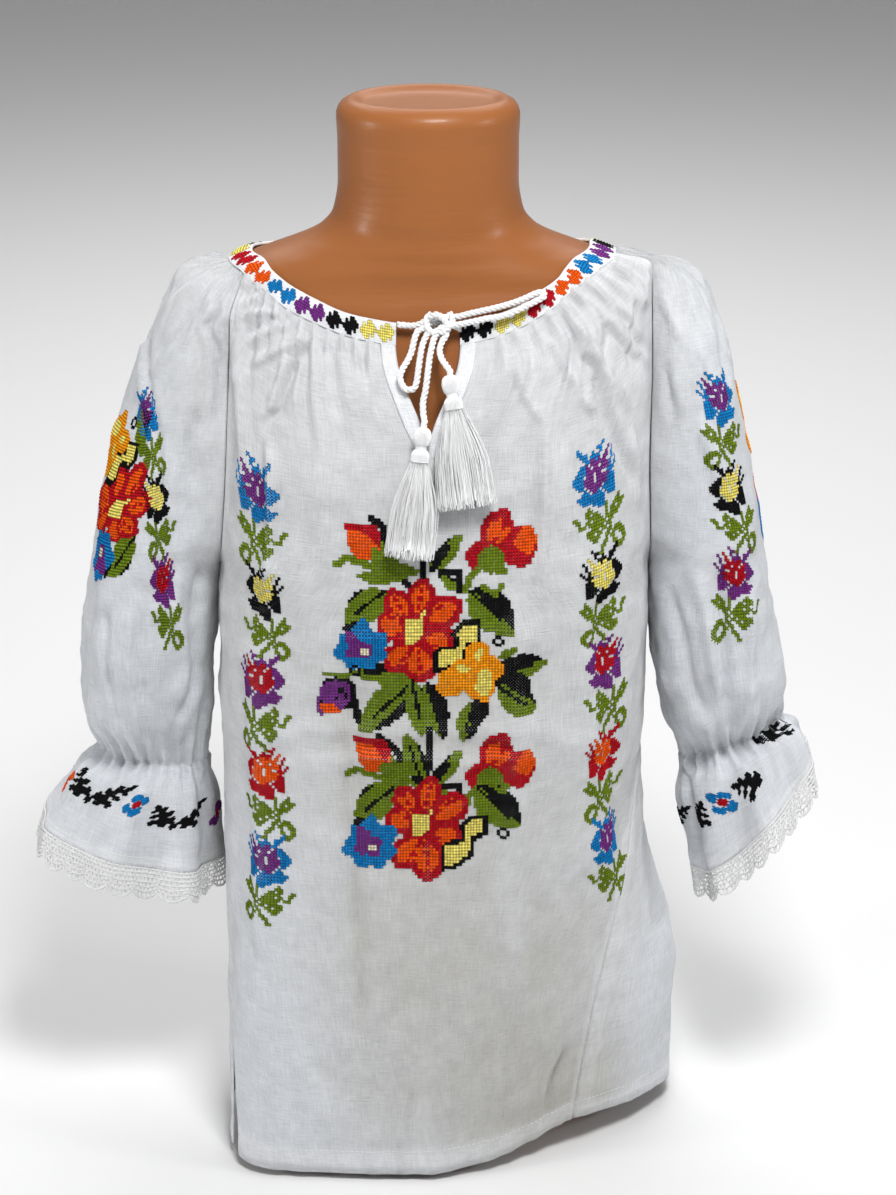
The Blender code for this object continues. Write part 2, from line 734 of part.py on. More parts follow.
def cloth_object(name, sheets, wall, finish, group, facing=1):
    """A cloth piece: sheets are lists of rows of points, welded where they meet, with a wall."""
    work = bmesh.new()
    for rows in sheets:
        corners = [[work.verts.new(point * MM) for point in row] for row in rows]
        for upper, lower in zip(corners, corners[1:]):
            for face in strip_faces(upper, lower):
                work.faces.new(face if facing > 0 else face[::-1])
    bmesh.ops.remove_doubles(work, verts=work.verts, dist=WELD * MM)
    mesh = bpy.data.meshes.new(name)
    work.to_mesh(mesh)
    work.free()
    made = linked(name, mesh, finish, group)
    solid = made.modifiers.new("wall", "SOLIDIFY")
    solid.thickness = wall * MM
    solid.offset = -1
    solid.use_even_offset = True
    solid.use_rim = True
    return made


def slit_half_width(v):
    return float(through(SLIT["v"], SLIT["half_width"], np.array([v]))[0])


def beside_slit(panel, v, cloth, side):
    """Places across for places on the cloth once the slit has pushed that half of it aside."""
    reach = np.abs(panel.plain(v, np.array([side * 0.2]))[0, 0]) / 0.2
    return cloth + (side - cloth) * slit_half_width(v) / reach


def front_sheets(panel):
    """The front's two halves: apart beside the slit, and welded below it."""
    places = gather_places(FRONT_GATHERS)
    sheets = []
    for side, half in ((-1, places[: FRONT_GATHERS + 1]), (1, places[FRONT_GATHERS:])):
        rows = []
        for v in BODY_MESH_ROWS:
            cloth = half if v <= FULL_COLUMNS_BELOW_NECK else half[::2]
            across = beside_slit(panel, v, cloth, side) * EDGE_PULLBACK
            rows.append(panel.at(v, across, cloth=cloth))
        sheets.append(rows)
    return sheets


def back_sheet(panel):
    """The back. At the vent its edge on the -X side hangs away from the front's edge."""
    places = gather_places(BACK_GATHERS) * EDGE_PULLBACK
    rows = []
    for v in BODY_MESH_ROWS:
        cloth = places if v <= FULL_COLUMNS_BELOW_NECK else places[::2]
        edge = panel.plain(v, np.array([0.95, 1.0]))
        reach = np.linalg.norm(edge[1] - edge[0]) / 0.05
        vent = VENT_OPENING * float(ease(v, VENT_TOP, LAST_ROW)) / reach
        rows.append(panel.at(v, np.where(cloth > 0, cloth * (1 - vent), cloth), cloth=cloth))
    return rows


def sleeve_sheet(panel):
    places = np.linspace(-1, 1, 2 * WRIST_GATHERS + 1)
    return [panel.at(v, places if v > SLEEVE_CAP_END else places[::2]) for v in SLEEVE_MESH_ROWS]


def lace_sheet(panel):
    """The edging: it hangs from the ruffle's edge, steeper than it, to a scalloped lower edge."""
    turns = np.linspace(0, SCALLOPS, 4 * SCALLOPS + 1)
    places = 2 * turns / SCALLOPS - 1
    edge = panel.at(SLEEVE_HEM_ROW, places)
    along = edge - panel.at(SLEEVE_HEM_ROW - 0.05, places)
    along /= np.linalg.norm(along, axis=1, keepdims=True)
    down = along - np.array([0, 0, LACE_DROOP])
    down /= np.linalg.norm(down, axis=1, keepdims=True)
    upper = edge + along * LACE_START
    scallop = np.abs(np.sin(math.pi * turns))
    depth = LACE_DEPTH - SCALLOP_DEPTH * (1 - scallop)
    return [upper, upper + down * depth[:, None]]


def facing_sheet(panel, side):
    """A straight strip that lies on the front along one side of the slit and below it."""
    rows = []
    for v in (0.02, 0.3, 0.6, 1.0, 1.3, 1.6, 1.9, 2.1, 2.25, 2.5, FACING_END):
        reach = np.abs(panel.plain(v, np.array([side * 0.2]))[0, 0]) / 0.2
        width = FACING_WIDTH + (FACING_TIP_WIDTH - FACING_WIDTH) * float(ease(v, 1.8, FACING_END))
        cloth = side * np.array([SEAM_GAP / 2 + 0.05, width]) / reach
        across = beside_slit(panel, v, cloth, side)
        row = panel.at(v, across, lift=SEAM_GAP + FACING_WALL, cloth=cloth)
        rows.append(row[:: side])
    return rows


def band_sheet():
    """The neckband from one end of the slit round the back to the other."""
    first, last = band_angle_at(slit_half_width(0)), 360 + band_angle_at(-slit_half_width(0))
    angles = np.linspace(last, first, BAND_COLUMNS_ROUND + 1)
    return [band_edge(angles, edge, FORM_CLEARANCE + BAND_WALL)[::-1] for edge in (1, -1)]


def form_object(finish, group):
    """The limbless dress form, with a flat base and a shallow dish on top of its neck."""
    angles = np.arange(FORM_CORNERS) * 360 / FORM_CORNERS
    rings = [form_point(np.full(FORM_CORNERS, level[0]), angles) for level in FORM_LEVELS]
    top = rings[-1]
    middle = top.mean(axis=0)
    share = 1 - NECK_DISH_INSET / np.linalg.norm(top - middle, axis=1, keepdims=True)
    rings.append(middle + (top - middle) * share - np.array([0, 0, NECK_DISH_DEPTH]))
    work = bmesh.new()
    corners = [[work.verts.new(point * MM) for point in ring] for ring in rings]
    for lower, upper in zip(corners, corners[1:]):
        for j in range(FORM_CORNERS):
            k = (j + 1) % FORM_CORNERS
            work.faces.new((lower[j], lower[k], upper[k], upper[j]))
    work.faces.new(corners[0][::-1])
    work.faces.new(corners[-1])
    mesh = bpy.data.meshes.new("dress_form")
    work.to_mesh(mesh)
    work.free()
    return linked("dress_form", mesh, finish, group)


# ---------------------------------------------------------------- the drawstring and its tassels
def cord_object(name, route, finish, group):
    """A round cord through a route, as a poly curve with a bevel and filled caps."""
    route = np.array(route)
    run = np.concatenate([[0], np.cumsum(np.linalg.norm(np.diff(route, axis=0), axis=1))])
    count = max(4, round(run[-1] / CORD_STEP))
    points = through(run, route, np.linspace(0, run[-1], count + 1))
    curve = bpy.data.curves.new(name, "CURVE")
    curve.dimensions = "3D"
    curve.bevel_depth = CORD_DIAMETER / 2 * MM
    curve.bevel_resolution = 2
    curve.use_fill_caps = True
    spline = curve.splines.new("POLY")
    spline.points.add(count)
    for corner, point in zip(spline.points, points):
        corner.co = (*(point * MM), 1)
    curve.materials.append(finish)
    made = bpy.data.objects.new(name, curve)
    group.objects.link(made)
    return made


def knot_object(finish, group):
    work = bmesh.new()
    bmesh.ops.create_uvsphere(work, u_segments=12, v_segments=8, radius=1)
    bmesh.ops.scale(work, verts=work.verts, vec=[radius * MM for radius in KNOT_RADII])
    mesh = bpy.data.meshes.new("bow_knot")
    work.to_mesh(mesh)
    work.free()
    made = linked("bow_knot", mesh, finish, group)
    made.location = [place * MM for place in KNOT_CENTRE]
    return made


def strand(work, route):
    """One thread of a tassel: a thin prism along its route."""
    rings = []
    for point in route:
        turns = [2 * math.pi * k / STRAND_CORNERS for k in range(STRAND_CORNERS)]
        ring = [(math.cos(a) * STRAND_RADIUS, math.sin(a) * STRAND_RADIUS, 0) for a in turns]
        rings.append([work.verts.new((np.array(corner) + point) * MM) for corner in ring])
    for upper, lower in zip(rings, rings[1:]):
        for k in range(STRAND_CORNERS):
            after = (k + 1) % STRAND_CORNERS
            work.faces.new((upper[k], lower[k], lower[after], upper[after]))
    work.faces.new(rings[0])
    work.faces.new(rings[-1][::-1])


def strands_mesh(name, length, spread):
    """All threads of a tassel, apart from each other, with their roots inside the head."""
    work = bmesh.new()
    outermost = STRAND_RINGS[-1][0]
    for radius, count in STRAND_RINGS:
        for k in range(count):
            turn = 2 * math.pi * (k + 0.5 * (count % 2)) / count
            way = np.array([math.cos(turn), math.sin(turn), 0])
            root = way * radius + np.array([0, 0, STRAND_ROOT])
            foot = way * radius / outermost * np.array([*spread, 0]) + np.array([0, 0, -length])
            middle = root + (foot - root) * np.array([0.66, 0.66, 0.42])
            strand(work, (root, middle, foot))
    mesh = bpy.data.meshes.new(name)
    work.to_mesh(mesh)
    work.free()
    return mesh


def tassel_object(name, head, foot, spread, finish, group, helpers):
    """A tassel: a turned head with its threads joined to it."""
    head, foot = Vector(head) * MM, Vector(foot) * MM
    up = (head - foot).normalized()
    across = (Vector((1, 0, 0)) - up * up.x).normalized()
    place = Matrix((across, up.cross(across), up)).transposed().to_4x4()
    place.translation = head
    mesh = strands_mesh(name + "_threads", (head - foot).length / MM, spread)
    threads = bpy.data.objects.new(name + "_threads", mesh)
    threads.matrix_world = place
    threads.hide_render = True
    threads.display_type = "WIRE"
    helpers.objects.link(threads)
    profile = bpy.data.meshes.new(name)
    corners = [(radius * MM, 0, height * MM) for radius, height in TASSEL_PROFILE]
    profile.from_pydata(corners, [(k, k + 1) for k in range(len(corners) - 1)], [])
    made = linked(name, profile, finish, group)
    made.matrix_world = place
    turned_head = made.modifiers.new("turned head", "SCREW")
    turned_head.steps = turned_head.render_steps = TASSEL_TURNS
    turned_head.use_merge_vertices = True
    turned_head.merge_threshold = WELD * MM
    turned_head.use_normal_flip = False
    union = made.modifiers.new("threads", "BOOLEAN")
    union.operation = "UNION"
    union.solver = "EXACT"
    union.object = threads
    return made


# ---------------------------------------------------------------- materials and the scene
def material(name, colour, roughness):
    made = bpy.data.materials.new(name)
    made.use_nodes = True
    shader = made.node_tree.nodes["Principled BSDF"]
    shader.inputs["Base Color"].default_value = (*colour, 1)
    shader.inputs["Roughness"].default_value = roughness
    shader.inputs["Metallic"].default_value = 0
    return made


def collection(name):
    made = bpy.data.collections.new(name)
    bpy.context.scene.collection.children.link(made)
    return made


def clear_scene():
    for thing in list(bpy.data.objects):
        bpy.data.objects.remove(thing, do_unlink=True)


def main():
    clear_scene()
    blouse = collection("romanian_ie_blouse")
    helpers = collection("helpers")
    cord_cotton = material("cord_cotton", (0.95, 0.95, 0.94), 0.7)
    cotton = material("white_cotton", (0.88, 0.88, 0.88), 0.85)
    band_cotton = material("band_cotton", (0.92, 0.92, 0.90), 0.85)
    facing_cotton = material("facing_cotton", (0.93, 0.94, 0.95), 0.85)
    crochet = material("crochet_lace", (0.90, 0.88, 0.82), 0.9)
    plastic = material("brown_plastic", (0.50, 0.25, 0.12), 0.25)
    panels = make_panels()
    form_object(plastic, blouse)
    cloth_object("front", front_sheets(panels["front"]), CLOTH_WALL, cotton, blouse)
    cloth_object("back", [back_sheet(panels["back"])], CLOTH_WALL, cotton, blouse)
    cloth_object("neckband", [band_sheet()], BAND_WALL, band_cotton, blouse)
    for name, side in (("right", -1), ("left", 1)):
        sleeve = panels[f"sleeve_{name}"]
        cloth_object(f"sleeve_{name}", [sleeve_sheet(sleeve)], CLOTH_WALL, cotton, blouse, side)
        cloth_object(f"lace_{name}", [lace_sheet(sleeve)], LACE_WALL, crochet, blouse, side)
        strip = facing_sheet(panels["front"], side)
        cloth_object(f"slit_facing_{name}", [strip], FACING_WALL, facing_cotton, blouse)
    for name, route in CORD_ROUTES.items():
        cord_object(name, route, cord_cotton, blouse)
    knot_object(cord_cotton, blouse)
    for name, (head, foot, spread) in TASSELS.items():
        tassel_object(name, head, foot, spread, cord_cotton, blouse, helpers)


main()
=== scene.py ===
"""The looks of a child's Romanian ie blouse that is worn by a limbless dress form.

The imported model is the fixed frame. Each cloth node is replaced by a thin shell on the same surface,
with the creases, fine gathers, hems and seams that real cotton has, and the embroidery, the lace, the
twisted drawstring and its tassels are thread by thread. The tables of the surfaces repeat those of the
part. Sizes are in millimetres and turned into metres when a mesh is made. +Z is up, -Y is the front,
and the wearer's right is -X.
"""

import math

import bpy
import numpy as np
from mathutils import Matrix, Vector, noise
from mathutils.bvhtree import BVHTree


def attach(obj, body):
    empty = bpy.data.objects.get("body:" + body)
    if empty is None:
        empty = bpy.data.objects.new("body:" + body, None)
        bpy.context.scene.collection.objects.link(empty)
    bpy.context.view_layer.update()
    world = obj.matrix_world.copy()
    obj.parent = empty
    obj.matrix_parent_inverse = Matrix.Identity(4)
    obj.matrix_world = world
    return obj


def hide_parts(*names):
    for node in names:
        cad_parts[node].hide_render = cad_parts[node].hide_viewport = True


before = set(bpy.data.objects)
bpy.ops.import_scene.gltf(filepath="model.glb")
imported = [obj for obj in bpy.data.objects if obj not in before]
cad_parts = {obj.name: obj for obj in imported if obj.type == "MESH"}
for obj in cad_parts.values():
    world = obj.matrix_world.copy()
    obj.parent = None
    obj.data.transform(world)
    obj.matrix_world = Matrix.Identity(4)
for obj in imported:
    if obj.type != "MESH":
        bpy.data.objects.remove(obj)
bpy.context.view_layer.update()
MM = 0.001
BODY = "root"

# ---------------------------------------------------------------- camera
# place in metres, tilt in degrees, lens and sensor in millimetres
CAMERA_PLACE = (0.0097, -1.5, 0.842)
CAMERA_TILT = 69.8
CAMERA_LENS = 93.1
SENSOR = 36.0

# ---------------------------------------------------------------- sizes shared with the part
CLOTH_WALL = 1.1
BAND_WALL = 1.8
BAND_WIDTH = 12.0
FACING_WIDTH = 9.0
FACING_TIP_WIDTH = 3.0
SEAM_GAP = 0.34
FORM_CLEARANCE = 0.8
HEM_HEIGHT = 12.0
SCALLOPS = 22
LACE_DROOP = 1.2
CORD_DIAMETER = 3.3
RUFFLE_WAVES = 7

FORM_COLUMNS = ("z", "half_width", "half_depth", "y_middle", "power")
FORM_LEVELS = (
    (0, 73, 54, 0, 2.3),
    (3, 76.5, 57, 0, 2.3),
    (60, 82, 62, 0, 2.3),
    (120, 82, 62, 0, 2.3),
    (180, 80, 59, -1, 2.3),
    (240, 82, 60, -2, 2.3),
    (300, 88, 64, -3, 2.3),
    (350, 95, 66, -3, 2.3),
    (390, 104, 63, -2, 2.3),
    (420, 112, 58, 0, 2.3),
    (440, 114, 53, 1, 2.2),
    (454, 111, 50, 1, 2.2),
    (463, 104.5, 47, 1, 2.1),
    (469, 97, 45, 0, 2.1),
    (473.5, 87, 44, -1, 2.0),
    (478, 74, 43, -1, 2.0),
    (482, 63.5, 42, -2, 2.0),
    (487, 54, 41, -2, 2.0),
    (496, 47, 40, -3, 2.0),
    (512, 44.5, 39.5, -3, 2.0),
    (530, 44.5, 39.5, -3, 2.0),
    (543, 45, 40, -3, 2.0),
    (548, 43.5, 38.5, -3, 2.0),
    (551, 39, 34, -3, 2.0),
)

BAND_COLUMNS = ("angle", "z", "rise")
BAND_LINE = (
    (-180, 461, 5.2),
    (-150, 463, 4.6),
    (-120, 467.5, 3.4),
    (-90, 471, 2.6),
    (-70, 470.7, 2.8),
    (-50, 466, 3.6),
    (-30, 455.5, 4.7),
    (-15, 447.5, 5.4),
    (0, 443.7, 5.6),
    (15, 448.5, 5.3),
    (30, 459, 4.5),
    (45, 468, 3.4),
    (60, 472.3, 2.7),
    (90, 473.8, 2.4),
    (120, 469.5, 3.2),
    (150, 463.5, 4.6),
    (180, 461, 5.2),
)
FRONT_TOP_MINUS = 62
FRONT_TOP_PLUS = 88
BACK_TOP = 118

YOKE_COLUMNS = ("angle", "z", "off")
YOKE_LINE = (
    (-180, 442, 9),
    (-150, 445, 9),
    (-115, 456, 8),
    (-90, 464, 7),
    (-54, 446, 7),
    (-40, 436, 8),
    (-20, 426, 10),
    (0, 423, 10),
    (20, 426, 10),
    (45, 444, 8),
    (65, 456, 8),
    (84, 463, 9),
    (115, 457, 8),
    (150, 445, 9),
    (180, 442, 9),
)
YOKE_ENDS = {"front_minus": 54, "front_plus": 83, "back_minus": 116, "back_plus": 113}

BODY_COLUMNS = (
    "v", "z_front", "z_seam_minus", "z_seam_plus", "z_back",
    "minus_x", "plus_x", "front", "back", "power_minus", "power_plus", "power_back",
    "front_minus", "front_plus", "back_minus", "back_plus",
)
BODY_SECTIONS = (
    (2, 403, 430, 430, 418, 105, 114, 76, 70, 2.5, 2.5, 2.5, 66, 74, 117, 114),
    (3, 370, 384, 384, 378, 108, 114, 83, 76, 2.7, 2.7, 2.7, 64, 72, 119, 116),
    (4, 334, 338, 338, 336, 108, 114, 86, 79, 2.7, 2.7, 2.7, 70, 75, 110, 108),
    (5, 300, 300, 300, 300, 108, 113, 87, 80, 2.7, 2.7, 2.7, 90, 90, 90, 90),
    (6, 236, 236, 236, 236, 108, 111, 87, 81, 2.9, 2.6, 2.7, 90, 90, 90, 90),
    (7, 165, 165, 165, 165, 107, 113, 88, 83, 3.4, 2.3, 2.6, 84, 64, 84, 64),
    (8, 80, 82, 84, 82, 106, 132, 90, 86, 4.5, 1.8, 2.5, 72, 42, 72, 42),
    (9, 4, 6, 18, 6, 106, 130, 92, 88, 6.0, 1.4, 2.5, 58, 43, 58, 43),
)
LAST_ROW = 9
VENT_TOP = 8.0
VENT_OPENING = 10.0
ARMPIT_ROW = 5
HEM_ROWS = HEM_HEIGHT / 76

SLIT_COLUMNS = ("v", "half_width")
SLIT_ROWS = ((0, 15.5), (0.5, 14.6), (1.0, 12.2), (1.5, 7.5), (1.9, 3.0), (2.25, 0.0))
SLIT_END = 2.25
FACING_END = 2.75

SHOULDER_COLUMNS = ("v", "reach", "z_outer", "half_depth", "y_middle", "power")
SHOULDER_RIGHT = (
    (1, 122, 464, 36, 4, 2.2),
    (2, 142, 428, 44, 4, 2.6),
    (3, 158, 384, 49, 4, 2.8),
    (4, 170, 332, 47, 3, 2.8),
    (5, 176, 300, 44, 3, 2.7),
)
SHOULDER_LEFT = (
    (1, 135, 463, 14.0, 6, 2.2),
    (2, 148, 432, 44, 4, 2.6),
    (3, 159, 386, 48, 4, 2.8),
    (4, 169, 334, 46, 3, 2.8),
    (5, 175, 300, 44, 3, 2.7),
)
ARM_COLUMNS = ("v", "inner", "z_inner", "outer", "z_outer", "half_depth", "y_middle", "power")
ARM_RIGHT = (
    (6, 113, 262, 181, 268, 42, 4, 2.5),
    (7, 115, 228, 181, 236, 36, 5, 2.3),
    (8, 118, 199, 175, 208, 21, 5, 2.1),
    (9, 116, 186, 186, 196, 30, 5, 2.1),
    (10, 114, 143, 207, 167, 42, 6, 2.2),
)
ARM_LEFT = (
    (6, 116, 262, 181, 272, 42, 4, 2.5),
    (7, 122, 232, 185, 248, 36, 3, 2.3),
    (8, 133, 203, 181, 225, 20, 3, 2.1),
    (9, 133, 189, 192, 219, 29, 1, 2.1),
    (10, 143, 140, 200, 206, 37, -1, 2.2),
)
SLEEVE_HEM_ROW = 10

# ---------------------------------------------------------------- the drawstring's routes
# Each end of the string leaves the neckband beside the slit, passes the knot, makes one loop of the
# bow, passes the knot again and hangs down to its tassel. The points are those of the part's cords.
RUN_RIGHT = (
    (-14.6, -54.2, 450.4),
    (-11.5, -54.4, 450.2),
    (-8.2, -54.5, 449.9),
    (-5.4, -54.6, 450.3),
    (-2.6, -54.8, 451.6),
)
RUN_LEFT = ((15.6, -54.8, 448.4), (14.5, -54.7, 449.0), (13.4, -54.5, 449.6))
LOOP_LEFT = (
    (13.8, -53.5, 454.2),
    (19.4, -53.0, 455.4),
    (24.4, -52.4, 456.4),
    (31.0, -51.3, 457.6),
    (37.7, -50.0, 459.0),
    (43.1, -48.6, 460.4),
    (48.4, -46.9, 462.2),
    (53.6, -45.2, 464.0),
    (56.2, -45.6, 464.4),
    (56.2, -48.0, 463.2),
    (52.2, -49.9, 461.0),
    (47.4, -51.4, 459.0),
    (41.6, -53.2, 456.6),
    (34.6, -54.7, 454.6),
    (28.5, -55.5, 453.8),
    (23.2, -56.2, 452.8),
    (18.4, -56.6, 451.9),
    (14.6, -57.0, 451.2),
)
LOOP_RIGHT = (
    (-2.4, -57.2, 449.0),
    (-4.4, -58.0, 448.6),
    (-5.8, -59.0, 446.6),
    (-6.8, -60.4, 443.4),
    (-7.8, -62.6, 439.4),
    (-9.8, -65.2, 435.4),
    (-12.2, -68.2, 432.0),
    (-13.4, -70.4, 428.8),
    (-12.4, -72.0, 425.6),
    (-9.8, -72.8, 423.2),
    (-7.2, -72.4, 423.2),
    (-5.4, -70.6, 426.4),
    (-4.6, -67.8, 431.2),
    (-3.8, -64.8, 436.4),
    (-2.8, -62.0, 441.4),
    (-1.4, -60.0, 445.0),
)
TAIL_RIGHT = (
    (3.6, -59.4, 446.6),
    (2.2, -62.0, 442.6),
    (0.8, -66.0, 436.6),
    (0.0, -69.6, 430.6),
    (-1.0, -73.0, 423.6),
    (-2.3, -76.2, 417.0),
    (-2.1, -78.8, 412.6),
    (-1.5, -80.8, 409.6),
    (-2.0, -82.4, 407.6),
    (-2.3, -83.0, 404.8),
)
TAIL_LEFT = (
    (8.9, -58.8, 446.6),
    (6.8, -60.6, 443.6),
    (5.7, -63.4, 440.2),
    (6.5, -66.8, 437.4),
    (8.8, -70.4, 434.6),
    (10.7, -73.2, 432.2),
    (10.9, -74.5, 428.6),
)
TASSELS = {
    "tassel_right": ((-2.6, -83.6, 402.4), (-9.3, -93.0, 345.0), (12.4, 4.2)),
    "tassel_left": ((11.0, -75.2, 426.0), (18.9, -91.0, 370.0), (13.6, 4.4)),
}
TASSEL_PROFILE = (
    (0.0, 5.0), (2.2, 4.5), (3.7, 2.7), (4.1, 0.0), (3.5, -2.8), (2.4, -4.5), (2.4, -5.6),
    (3.5, -6.8), (4.3, -8.6), (4.3, -10.2), (0.0, -10.2),
)

# ---------------------------------------------------------------- creases
# A crease is a route of x, z on one face of a panel, its half width, its height (below 0 a trough)
# and the side on which a soft ridge goes with it: 1 towards +X, -1 towards -X, 0 for none.
CREASE_COLUMNS = ("half_width", "height", "ridge_side", "route")
FRONT_CREASES = (
    (2.2, -2.6, -1, ((-60, 440), (-63, 433), (-67, 425), (-70, 417), (-72, 410), (-76, 406),
                     (-82, 396))),
    (2.4, 1.9, 0, ((-56, 443), (-63, 441), (-70, 438), (-81, 432), (-88, 427))),
    (1.8, -1.5, 1, ((-66, 451), (-75, 450), (-85, 445), (-91, 440))),
    (1.6, 1.1, 0, ((-74, 453), (-85, 452), (-92, 448))),
    (1.5, -1.1, 1, ((-82, 461), (-89, 460), (-93, 456))),
    (1.2, -1.0, 1, ((-44, 443), (-43, 436))),
    (1.2, -1.1, -1, ((-41, 443), (-41, 436))),
    (3.2, 1.6, 0, ((-94, 444), (-92, 419), (-90, 400), (-90, 378), (-92, 350))),
    (2.6, 1.5, 0, ((-78, 400), (-76, 380), (-77, 350), (-80, 310))),
    (1.7, 1.5, 0, ((39, 443), (42, 436), (43, 428), (47, 418), (52, 411), (57, 402))),
    (2.2, 1.5, 0, ((57, 405), (57, 395), (56, 375), (56, 340), (58, 300))),
    (1.7, 1.3, 0, ((55, 444), (61, 440), (66, 431), (71, 423), (74, 415), (80, 410), (84, 396))),
    (2.3, -3.0, 1, ((72, 440), (74, 435), (80, 428), (83, 420), (86, 408), (92, 392), (96, 380),
                    (103, 364))),
    (2.0, 1.6, 0, ((65, 458), (69, 450), (79, 440), (87, 426), (93, 416), (100, 404))),
    (1.8, -1.5, 1, ((73, 459), (79, 455), (91, 442), (99, 432), (107, 420))),
    (1.4, -1.7, 1, ((91, 455), (98, 447), (104, 436), (108, 428))),
    (2.0, 1.3, 0, ((89, 471), (96, 467), (103, 459), (108, 450))),
    (2.4, 1.2, 0, ((98, 400), (101, 380), (104, 350))),
    (3.6, 1.0, 0, ((-100, 236), (-60, 251), (-20, 252), (10, 251), (60, 250), (108, 230))),
    (3.4, -1.0, 0, ((-98, 226), (-60, 241), (-10, 243), (50, 241), (106, 220))),
    (7.0, 0.9, 0, ((-100, 226), (-70, 238), (-40, 236), (-10, 238), (40, 236), (80, 238), (106, 214))),
    (5.0, 1.5, 0, ((-84, 300), (-86, 240), (-84, 170), (-88, 90))),
    (6.0, 1.4, 0, ((40, 330), (44, 260), (40, 180), (46, 80))),
    (6.0, -1.4, 0, ((-36, 300), (-40, 220), (-34, 120), (-38, 30))),
    (4.0, -1.3, 0, ((84, 320), (88, 270), (94, 210), (104, 140))),
    (2.2, -1.2, 1, ((104, 150), (96, 110), (84, 60), (76, 30))),
    (2.0, -1.0, -1, ((72, 70), (64, 45), (60, 20))),
)
BACK_CREASES = (
    (2.2, -2.4, 1, ((-58, 448), (-64, 430), (-72, 412), (-84, 390))),
    (2.0, 1.6, 0, ((-40, 448), (-46, 430), (-52, 405), (-54, 370))),
    (1.6, -1.4, 1, ((-20, 446), (-22, 428), (-26, 405))),
    (1.8, 1.4, 0, ((4, 446), (4, 425), (6, 395))),
    (1.7, -1.6, -1, ((26, 446), (30, 428), (36, 405))),
    (2.0, 1.7, 0, ((44, 448), (50, 430), (60, 405), (64, 360))),
    (2.4, -2.6, 1, ((62, 450), (70, 432), (80, 410), (92, 380))),
    (1.5, -1.5, -1, ((78, 456), (90, 442), (100, 430))),
    (5.0, 2.0, 0, ((-70, 330), (-66, 250), (-70, 160), (-62, 40))),
    (6.0, -2.2, 0, ((-20, 320), (-14, 230), (-22, 130), (-12, 20))),
    (5.0, 2.0, 0, ((38, 330), (46, 240), (40, 140), (50, 30))),
    (1.8, 0.8, 0, ((-104, 240), (-60, 246), (0, 244), (60, 248), (104, 240))),
)
SLEEVE_RIGHT_CREASES = (
    (1.7, -2.3, -1, ((-108, 468), (-122, 463), (-134, 449), (-140, 436), (-140, 423), (-138, 412),
                     (-134, 397), (-133, 378), (-130, 348), (-128, 330))),
    (1.5, 1.0, 0, ((-100, 468), (-105, 465), (-112, 463), (-120, 459), (-131, 450))),
    (2.2, -1.6, 1, ((-107, 457), (-112, 452), (-117, 448), (-120, 443), (-125, 439), (-132, 433),
                    (-139, 425))),
    (2.2, -2.0, -1, ((-99, 459), (-103, 452), (-107, 446), (-106, 441), (-103, 434), (-101, 420),
                     (-103, 395))),
    (3.4, -1.3, 0, ((-112, 405), (-118, 385), (-116, 360))),
    (3.0, 1.5, 0, ((-125, 325), (-128, 298), (-124, 267), (-128, 236))),
    (3.0, -1.6, 0, ((-115, 323), (-119, 290), (-122, 250), (-134, 222))),
    (3.0, 1.5, 0, ((-150, 300), (-152, 270), (-150, 240), (-148, 215))),
    (2.4, -1.5, 0, ((-164, 300), (-166, 268), (-162, 240), (-158, 215))),
)
SLEEVE_LEFT_CREASES = (
    (1.4, -1.2, 1, ((112, 470), (122, 468), (131, 465), (139, 456), (143, 445), (145, 430),
                    (148, 414), (150, 396))),
    (2.4, -1.1, 1, ((116, 424), (118, 411), (121, 400))),
    (2.4, 1.3, 0, ((114, 458), (121, 444), (130, 430), (136, 412))),
    (3.0, -1.2, 0, ((124, 440), (134, 422), (140, 402))),
    (3.4, 1.2, 0, ((134, 399), (140, 383), (143, 362))),
    (3.0, 1.5, 0, ((131, 324), (139, 298), (144, 271), (150, 240))),
    (3.0, -1.6, 0, ((120, 310), (128, 285), (134, 255), (146, 228))),
    (3.0, -1.5, 0, ((148, 325), (148, 293), (151, 259), (154, 230))),
    (2.6, 1.5, 0, ((162, 310), (164, 275), (164, 250), (160, 226))),
)


# ---------------------------------------------------------------- curves through tables
def table(columns, rows):
    """The named columns of a table, each as an array."""
    values = np.array(rows, float)
    return {name: values[:, i] for i, name in enumerate(columns)}


def rows_of(columns, rows):
    """The rows of a table as dictionaries by column name."""
    return [dict(zip(columns, row)) for row in rows]


def slopes_of(keys, values):
    """Slopes for a smooth curve that never overshoots its values."""
    step = np.diff(keys).reshape((-1,) + (1,) * (values.ndim - 1))
    secant = np.diff(values, axis=0) / step
    before, after = secant[:-1], secant[1:]
    first, second = 2 * step[1:] + step[:-1], step[1:] + 2 * step[:-1]
    same_way = before * after > 0
    safe_before, safe_after = np.where(same_way, before, 1), np.where(same_way, after, 1)
    inner = (first + second) / (first / safe_before + second / safe_after)
    inner = np.where(same_way, inner, 0)
    return np.concatenate([secant[:1], inner, secant[-1:]])


def hermite(t, step, start, start_slope, end, end_slope):
    return (
        (2 * t**3 - 3 * t**2 + 1) * start
        + (t**3 - 2 * t**2 + t) * step * start_slope
        + (3 * t**2 - 2 * t**3) * end
        + (t**3 - t**2) * step * end_slope
    )


